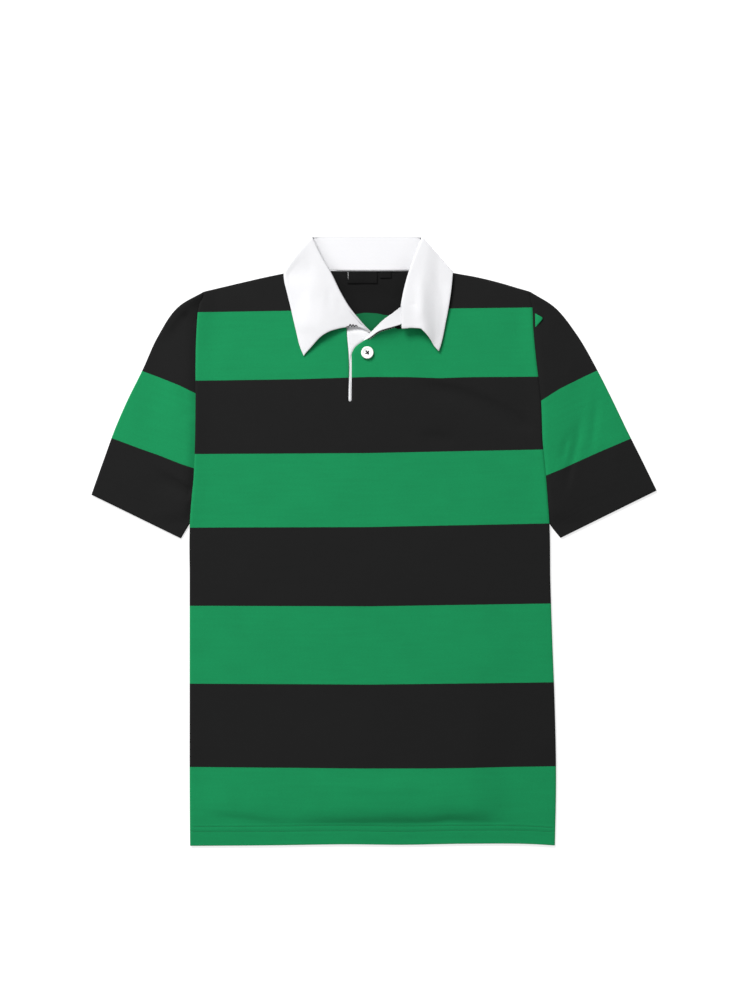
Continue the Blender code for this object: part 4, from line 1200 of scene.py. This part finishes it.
def sheet_mesh(name, grids, thickness, material, inner=None, inner_on_top=False):
    """A sheet with rounded edges, from grids of its middle surface with x, y, z and grain coordinates."""
    points, grain, quads = merged(grids)
    across = points[quads[:, 2]] - points[quads[:, 0]]
    up = points[quads[:, 3]] - points[quads[:, 1]]
    normal = np.zeros_like(points)
    for corner in range(4):
        np.add.at(normal, quads[:, corner], np.cross(across, up))
    normal = unit(normal)

    # The edges that belong to one quad only, and the way out of the sheet at each of their points
    count = len(points)
    tails = quads.ravel()
    heads = np.roll(quads, -1, axis=1).ravel()
    alone = ~np.isin(tails * count + heads, heads * count + tails)
    tails = tails[alone]
    heads = heads[alone]
    out = np.zeros_like(points)
    edge_out = np.cross(points[heads] - points[tails], normal[tails] + normal[heads])
    np.add.at(out, tails, edge_out)
    np.add.at(out, heads, edge_out)
    rim = np.unique(tails)
    out_rim = unit(out[rim] - normal[rim] * (out[rim] * normal[rim]).sum(axis=1)[:, None])

    half = thickness / 2
    layers = [points + normal * half, points - normal * half]
    rings = [np.arange(count)]
    for step in range(1, RIM_STEPS):
        angle = math.pi / 2 - math.pi * step / RIM_STEPS
        number = np.full(count, -1)
        number[rim] = sum(len(layer) for layer in layers) + np.arange(len(rim))
        layers.append(points[rim] + half * (normal[rim] * math.sin(angle) + out_rim * math.cos(angle)))
        rings.append(number)
    rings.append(np.arange(count) + count)
    sides = [
        np.stack([above[heads], above[tails], below[tails], below[heads]], axis=1)
        for above, below in zip(rings[:-1], rings[1:])
    ]
    faces = np.concatenate([quads, quads[:, ::-1] + count, *sides])
    all_grain = np.concatenate([grain, grain] + [grain[rim]] * (RIM_STEPS - 1))

    mesh = bpy.data.meshes.new(name)
    mesh.from_pydata((np.concatenate(layers) * MM).tolist(), [], faces.tolist())
    layer = mesh.uv_layers.new(name="grain")
    layer.data.foreach_set("uv", (all_grain[faces.ravel()] * MM).ravel())
    if inner is None:
        return linked(name, mesh, material)
    made = linked(name, mesh, material, inner)
    wrong = np.zeros(len(faces), dtype=np.int32)
    start = 0 if inner_on_top else len(quads)
    wrong[start : start + len(quads)] = 1
    mesh.polygons.foreach_set("material_index", wrong)
    mesh.update()
    return made


def tubes(name, centre, aside, up, size, sides, material):
    """Closed tubes round lines of points, from an array of lines, points and x, y, z. aside and up span the
    plane of each ring, and size is its radius."""
    angles = 2 * math.pi * np.arange(sides)[:, None] / sides
    turn = aside[..., None, :] * np.cos(angles) + up[..., None, :] * np.sin(angles)
    points = centre[..., None, :] + size[:, None, None] * turn
    index = np.arange(points[..., 0].size).reshape(points.shape[:3])
    after = np.roll(index, -1, axis=2)
    walls = np.stack([index[:, :-1], after[:, :-1], after[:, 1:], index[:, 1:]], axis=-1).reshape(-1, 4)
    caps = np.concatenate([index[:, 0, ::-1], index[:, -1]])
    mesh = bpy.data.meshes.new(name)
    mesh.from_pydata((points.reshape(-1, 3) * MM).tolist(), [], walls.tolist() + caps.tolist())
    return linked(name, mesh, material)


def stitches(name, path, lift_of, sizes, material):
    """A row of stitches along a path of x, y: short threads that dip into the cloth at both ends."""
    pitch, length, radius = sizes
    run = run_lengths(path)
    count = int(run[-1] // pitch)
    arch = np.sin(np.linspace(0, math.pi, STITCH_RINGS))
    at = (run[-1] - count * pitch) / 2 + np.arange(count) * pitch + (pitch - length) / 2
    where = np.linspace(at, at + length, STITCH_RINGS, axis=1)
    x, y = (np.interp(where, run, column) for column in path.T)
    z = lift_of(x, y) - radius * STITCH_SUNK + radius * arch
    centre = np.stack([x, y, z], axis=2)
    way = unit(centre[:, -1:, :2] - centre[:, :1, :2])
    aside = np.stack([-way[..., 1], way[..., 0], 0 * way[..., 0]], axis=2)
    size = radius * (STITCH_END + (1 - STITCH_END) * arch)
    tubes(name, centre, aside, np.array([[UP]]), size, STITCH_SIDES, material)


def thread(name, path, radius, material):
    """One length of thread along points of x, y, z."""
    path = np.array(path, float)
    line = along(np.concatenate([path[:, :2], path], axis=1), LEG_STEPS * (len(path) - 1))[:, 2:]
    way = unit(np.gradient(line, axis=0))
    aside = unit(np.cross(UP, way))
    size = np.full(len(line), radius)
    size[[0, -1]] *= THREAD_END
    tubes(name, line[None], aside[None], np.cross(way, aside)[None], size, THREAD_SIDES, material)


def button_mesh(material):
    """A turned button with a raised rim and four holes."""
    sides = BUTTON_SIDES
    x, y = BUTTON_AT
    base = button_base()
    points = [(0, 0, BUTTON_PROFILE[0][1])]
    for radius, height in BUTTON_PROFILE[1:-1]:
        angles = [2 * math.pi * i / sides for i in range(sides)]
        points += [(radius * math.cos(angle), radius * math.sin(angle), height) for angle in angles]
    points.append((0, 0, BUTTON_PROFILE[-1][1]))
    last = len(points) - 1
    faces = []
    for i in range(sides):
        j = (i + 1) % sides
        faces += [(0, 1 + j, 1 + i), (last, last - sides + i, last - sides + j)]
        for low in range(1, last - sides, sides):
            faces.append((low + i, low + j, low + sides + j, low + sides + i))
    mesh = bpy.data.meshes.new("button_face")
    mesh.from_pydata([((px + x) * MM, (py + y) * MM, (pz + base) * MM) for px, py, pz in points], [], faces)
    made = linked("button_face", mesh, material)
    for corner in range(4):
        hole_x, hole_y = hole_at(corner)
        bpy.ops.mesh.primitive_cylinder_add(
            vertices=HOLE_SIDES,
            radius=BUTTON_HOLE * MM,
            depth=HOLE_DEPTH * MM,
            location=(hole_x * MM, hole_y * MM, base * MM),
        )
        cutter = bpy.context.object
        cut = made.modifiers.new(f"Hole {corner}", "BOOLEAN")
        cut.operation = "DIFFERENCE"
        cut.object = cutter
        bpy.context.view_layer.objects.active = made
        bpy.ops.object.modifier_apply(modifier=cut.name)
        bpy.data.objects.remove(cutter)
    return made


def surface(made):
    return BVHTree.FromPolygons(
        [vertex.co[:] for vertex in made.data.vertices], [face.vertices[:] for face in made.data.polygons]
    )


def top_at(tree, x, y):
    """Height of a piece's upper surface at x, y, or 0 beside it."""
    hit, _, _, _ = tree.ray_cast((x * MM, y * MM, 1.0), (0.0, 0.0, -1.0))
    return hit.z / MM if hit else 0.0


def button_base():
    return float(cloth_top(*np.array(BUTTON_AT)[:, None])[0]) + BUTTON_LIFT


def hole_at(corner):
    angle = BUTTON_TURN + corner * math.pi / 2
    x, y = BUTTON_AT
    return x + BUTTON_HOLE_SPREAD * math.cos(angle), y + BUTTON_HOLE_SPREAD * math.sin(angle)


# ---- materials


class Nodes:
    """A material's node tree, with short calls for the nodes that it needs."""

    def __init__(self, name, roughness, specular, sheen=0.0):
        self.material = bpy.data.materials.new(name)
        self.material.use_nodes = True
        self.tree = self.material.node_tree
        self.shader = self.tree.nodes["Principled BSDF"]
        self.shader.inputs["Roughness"].default_value = roughness
        self.shader.inputs["Specular IOR Level"].default_value = specular
        self.shader.inputs["Sheen Weight"].default_value = sheen
        self.shader.inputs["Sheen Roughness"].default_value = 0.5

    def put(self, socket, value):
        if isinstance(value, bpy.types.NodeSocket):
            self.tree.links.new(value, socket)
        else:
            socket.default_value = value

    def math(self, operation, first, second=0.0, third=0.0):
        node = self.tree.nodes.new("ShaderNodeMath")
        node.operation = operation
        for socket, value in zip(node.inputs, (first, second, third)):
            self.put(socket, value)
        return node.outputs[0]

    def product(self, *factors):
        """Multiplies factors, each given as a value from 0 to 1, how much it adds, and what it adds to."""
        total = None
        for value, spread, base in factors:
            factor = self.math("MULTIPLY_ADD", value, spread, base)
            total = factor if total is None else self.math("MULTIPLY", total, factor)
        return total

    def ribs(self, value):
        """A rounded rib once for every whole step of value."""
        wave = self.math("MULTIPLY_ADD", self.math("FRACT", value), 2.0, -1.0)
        return self.math("SUBTRACT", 1.0, self.math("MULTIPLY", wave, wave))

    def grain(self):
        node = self.tree.nodes.new("ShaderNodeUVMap")
        node.uv_map = "grain"
        split = self.tree.nodes.new("ShaderNodeSeparateXYZ")
        self.tree.links.new(node.outputs["UV"], split.inputs[0])
        return node.outputs["UV"], split.outputs["X"], split.outputs["Y"]

    def place(self):
        return self.tree.nodes.new("ShaderNodeTexCoord").outputs["Object"]

    def noise(self, vector, scale, detail=2.0, stretch=(1, 1, 1)):
        mapping = self.tree.nodes.new("ShaderNodeMapping")
        mapping.inputs["Scale"].default_value = stretch
        self.tree.links.new(vector, mapping.inputs["Vector"])
        node = self.tree.nodes.new("ShaderNodeTexNoise")
        node.inputs["Scale"].default_value = scale
        node.inputs["Detail"].default_value = detail
        self.tree.links.new(mapping.outputs["Vector"], node.inputs["Vector"])
        return node.outputs["Fac"]

    def mixed(self, factor, first, second):
        node = self.tree.nodes.new("ShaderNodeMix")
        node.data_type = "RGBA"
        for socket, value in zip((0, 6, 7), (factor, first, second)):
            self.put(node.inputs[socket], value)
        return node.outputs[2]

    def finish(self, colour, factor, height, depth, strength):
        """The colour, lighter or darker by a factor, over bumps of a depth in metres."""
        shade = self.tree.nodes.new("ShaderNodeVectorMath")
        shade.operation = "SCALE"
        self.put(shade.inputs[0], colour)
        self.put(shade.inputs["Scale"], factor)
        self.put(self.shader.inputs["Base Color"], shade.outputs["Vector"])
        bump = self.tree.nodes.new("ShaderNodeBump")
        bump.inputs["Distance"].default_value = depth
        bump.inputs["Strength"].default_value = strength
        self.tree.links.new(height, bump.inputs["Height"])
        self.tree.links.new(bump.outputs["Normal"], self.shader.inputs["Normal"])
        return self.material


def jersey(name, marks, lowest, other, wrong_side=False):
    """Plain knit with dyed hoops, which change colour at the grain heights in marks, from the lowest up.
    The right side shows columns of small chevrons, the wrong side rows of loops under a painted shade."""
    n = Nodes(name, 0.9, 0.2, 0.03)
    uv, u, v = n.grain()
    wale = n.math("FRACT", n.math("DIVIDE", u, WALE))
    off = n.math("MULTIPLY", n.math("ABSOLUTE", n.math("SUBTRACT", wale, 0.5)), 2.0)
    # On the wrong side the colour is scaled down by the painted shade
    lean, loops, shade = (0.12, 0.75, WRONG_SIDE_PAINTED_SHADE) if wrong_side else (0.45, 0.5, 1.0)
    loop = n.ribs(n.math("MULTIPLY_ADD", off, lean, n.math("DIVIDE", v, COURSE)))
    rib = n.math("SUBTRACT", 1.0, n.math("MULTIPLY", off, off))
    height = n.math("MULTIPLY_ADD", loop, loops, n.math("MULTIPLY", rib, 1 - loops))
    slub = n.noise(uv, 900.0, 2.0, (0.35, 1.6, 1))
    streak = n.noise(uv, 160.0, 3.0, (0.12, 1.5, 1))
    cloud = n.noise(uv, 26.0, 3.0)
    knit = (height, 0.16 * shade, 0.84 * shade)
    factor = n.product(knit, (slub, 0.30, 0.85), (streak, 0.14, 0.93), (cloud, 0.12, 0.94))
    jag = n.math("MULTIPLY_ADD", off, lean * COURSE, v)
    count = 0.0
    for mark in marks:
        count = n.math("ADD", n.math("GREATER_THAN", jag, mark * MM), count)
    hoop = n.mixed(n.math("MODULO", count, 2.0), lowest, other)
    return n.finish(hoop, factor, n.math("MULTIPLY_ADD", slub, 0.5, height), 0.00022, 0.5)


def twill(name, colour):
    """Fine cotton twill with its diagonal ribs. It has painted light on the stand and a painted shade along
    the roll line.
    """
    n = Nodes(name, 0.85, 0.2, 0.02)
    uv, u, v = n.grain()
    rib = n.ribs(n.math("DIVIDE", n.math("MULTIPLY_ADD", v, 0.55, u), TWILL_RIB))
    yarn = n.ribs(n.math("DIVIDE", n.math("MULTIPLY_ADD", v, -1.6, u), TWILL_YARN))
    height = n.math("MULTIPLY_ADD", rib, 0.7, n.math("MULTIPLY", yarn, 0.3))
    slub = n.noise(uv, 700.0, 2.0, (0.4, 1.2, 1))
    cloud = n.noise(uv, 30.0, 3.0)
    # Painted light: the stand is painted lighter than the leaf
    on_stand = n.math("LESS_THAN", v, 0.0)
    # Painted shade along the roll line, darkest close to it
    off_roll = n.math("ABSOLUTE", n.math("SUBTRACT", n.math("DIVIDE", v, ROLL_PAINTED_SHADE_WIDTH), 0.45))
    off_roll = n.math("MINIMUM", off_roll, 1.0)
    cloth_factors = ((height, 0.05, 0.96), (slub, 0.05, 0.975), (cloud, 0.03, 0.985))
    factor = n.product(*cloth_factors, (on_stand, STAND_PAINTED_LIGHT, 1.0), (off_roll, 0.25, 0.75))
    return n.finish(colour[:3], factor, height, 0.00012, 0.35)


def woven_tape(name, colour):
    """Black satin tape with fine cross ribs."""
    n = Nodes(name, 0.75, 0.12)
    uv, _, v = n.grain()
    rib = n.ribs(n.math("DIVIDE", v, TAPE_RIB))
    slub = n.noise(uv, 1200.0, 1.0, (0.2, 1.0, 1))
    factor = n.math("MULTIPLY_ADD", rib, 0.25, n.math("MULTIPLY_ADD", slub, 0.3, 0.7))
    return n.finish(colour[:3], factor, rib, 0.0001, 0.4)


def spun(name, colour):
    """Sewing thread."""
    n = Nodes(name, 0.6, 0.25)
    wave = n.noise(n.place(), 2500.0, 2.0)
    return n.finish(colour[:3], n.product((wave, 0.5, 0.75)), wave, 0.0001, 0.4)


def pearl(name, colour):
    """Cast button plastic with faint clouds."""
    n = Nodes(name, 0.28, 0.5)
    cloud = n.noise(n.place(), 260.0, 3.0)
    return n.finish(colour[:3], n.product((cloud, 0.12, 0.94)), cloud, 0.00003, 0.3)


# ---- the object


def both_sides(name, marks, lowest, other):
    """A knit's right side and its wrong side, which carries a painted shade."""
    return jersey(name, marks, lowest, other), jersey(f"{name}_inside", marks, lowest, other, True)


body_knits = both_sides("body_jersey", FRONT_MARKS, GREEN, BLACK)
sleeve_knits = {
    kind: both_sides(f"{kind}_jersey", KNITS[kind][2], BLACK, GREEN)
    for kind in ("sleeve_right", "sleeve_left")
}
collar_cloths = [twill("collar_twill", WHITE)]
tape_cloths = [woven_tape("woven_tab", TAPE_BLACK)]
threads = {name: spun(f"{name}_thread", colour) for name, colour in THREADS}
button_plastic = pearl("button_pearl", PEARL)


def cloth(name, grids, thickness, materials, nodes, inner_on_top=False):
    made = sheet_mesh(name, grids, thickness, *materials, inner_on_top=inner_on_top)
    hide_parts(*nodes)
    return made


back = cloth("back_cloth", back_grids(), JERSEY, body_knits, ["back_panel"], True)
front = cloth("front_cloth", front_grids(), JERSEY, body_knits, ["front_panel"])
grids = sleeve_grids(SLEEVE_RIGHT, 0, SLEEVE_RIGHT_FOLDS, "sleeve_right")
knits = sleeve_knits["sleeve_right"]
sleeve_r = cloth("sleeve_right_cloth", grids, JERSEY, knits, ["sleeve_right"])
grids = sleeve_grids(SLEEVE_LEFT, 1, SLEEVE_LEFT_FOLDS, "sleeve_left")
knits = sleeve_knits["sleeve_left"]
sleeve_l = cloth("sleeve_left_cloth", grids, JERSEY, knits, ["sleeve_left"], True)
nodes = ["collar_stand", "collar_leaf"]
collar = cloth("collar_cloth", collar_grids(), TWILL, collar_cloths, nodes)
placket = cloth("placket_cloth", [placket_grid()], JERSEY, collar_cloths, ["under_placket"])
label = cloth("label_cloth", [tab_grid(LABEL)], TAB, tape_cloths, ["neck_label"])
tab = cloth("size_tab_cloth", [tab_grid(SIZE_TAB)], TAB, tape_cloths, ["size_tab"])
# The black tape, whose wide end is a painted shadow
tape = sheet_mesh("neck_tape_and_shadow", [tape_grid()], TAPE_THICKNESS, *tape_cloths)
pleat = sheet_mesh("armhole_pleat", [pleat_grid()], JERSEY, body_knits[0])

button = button_mesh(button_plastic)
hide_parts("button")

# Thread of the button: two strands crossed over its holes
top = button_base() + BUTTON_PROFILE[-1][1]
for strand in range(2):
    start, end = (np.array(hole_at(corner)) for corner in (strand, strand + 2))
    strand_path = [
        (*(start * (1 - share) + end * share), top + risen * STRAND_RISE[strand] + more)
        for share, risen, more in STRAND
    ]
    thread(f"button_thread_{strand}", strand_path, STRAND_RADIUS, threads["dark"])

# The two rows of stitches round the hem
for row, name in ((1, "hem_stitches_low"), (2, "hem_stitches_high")):
    x = np.linspace(HEM[0][0] + HEM_STITCH_END, HEM[-1][0] - HEM_STITCH_END, HEM_ROW_POINTS)
    line = np.stack([x, read(HEM, x) + read_straight(HEM_ROWS, x, row)], axis=1)
    stitches(name, line, lambda x, y: cloth_top(x, y) + hem_grooves(x, y), HEM_STITCH, threads["green"])

# Light stitches along the black tape of the flap's neck seam
line, aside = tape_line(-TAPE_STITCH_STOP)
line = line + aside * TAPE_STITCH_OUT
stitches("neck_stitches", line, neck_top, TAPE_STITCH, threads["grey"])

# Stitches down the two sides of the neck label
for colour, (x, low_y), sizes in (
    ("white", LABEL_WHITE_ROW, LABEL_STITCH_WHITE),
    ("black", LABEL_BLACK_ROW, LABEL_STITCH_BLACK),
):
    line = np.array([(x, LABEL[3]), (x, low_y)])
    stitches(f"label_stitches_{colour}", line, label_top, sizes, threads[colour])

# The dark zigzag tack at the right end of the stand, below the leaf. Its dark thread is partly a painted
# shadow under the leaf's edge
sewn_on = [surface(made) for made in (collar, placket, front)]
tack = [(x, y, max(top_at(tree, x, y) for tree in sewn_on) + TACK_LIFT) for x, y in TACK]
thread("stand_tack_and_shadow", tack, TACK_RADIUS, threads["dark"])

# ---- floor, light and camera

scene = bpy.context.scene
scene.view_settings.view_transform = "Standard"

floor_mesh = bpy.data.meshes.new("floor")
corners = [(x * FLOOR_HALF, y * FLOOR_HALF, 0) for x, y in ((-1, -1), (1, -1), (1, 1), (-1, 1))]
floor_mesh.from_pydata(corners, [], [(0, 1, 2, 3)])
floor = placed("floor", floor_mesh, (0, 0, FLOOR_Z))
paper = bpy.data.materials.new("pale_floor")
paper.use_nodes = True
for socket, value in (
    ("Base Color", PAPER),
    ("Roughness", 0.9),
    ("Specular IOR Level", 0.1),
    ("Emission Color", LIGHT),
    ("Emission Strength", 0.66),
):
    paper.node_tree.nodes["Principled BSDF"].inputs[socket].default_value = value
floor_mesh.materials.append(paper)

world = bpy.data.worlds.new("studio")
world.use_nodes = True
world.node_tree.nodes["Background"].inputs["Color"].default_value = LIGHT
world.node_tree.nodes["Background"].inputs["Strength"].default_value = 0.41
scene.world = world

# A broad key light beyond the neck, and a weak one low on the wearer's right
for name, size, energy, place in (
    ("key", 2.0, 250.0, (-1.7, 3.3, 2.9)),
    ("side", 1.2, 6.5, (-1.6, 0.0, 1.2)),
):
    light = bpy.data.lights.new(name, "AREA")
    light.shape = "DISK"
    light.size = size
    light.energy = energy
    light_object = placed(name, light, place)
    light_object.rotation_mode = "QUATERNION"
    light_object.rotation_quaternion = light_object.location.to_track_quat("Z", "Y")

camera = bpy.data.cameras.new("camera")
camera.lens = LENS
camera.sensor_width = SENSOR
scene.camera = placed("camera", camera, CAMERA_AT)
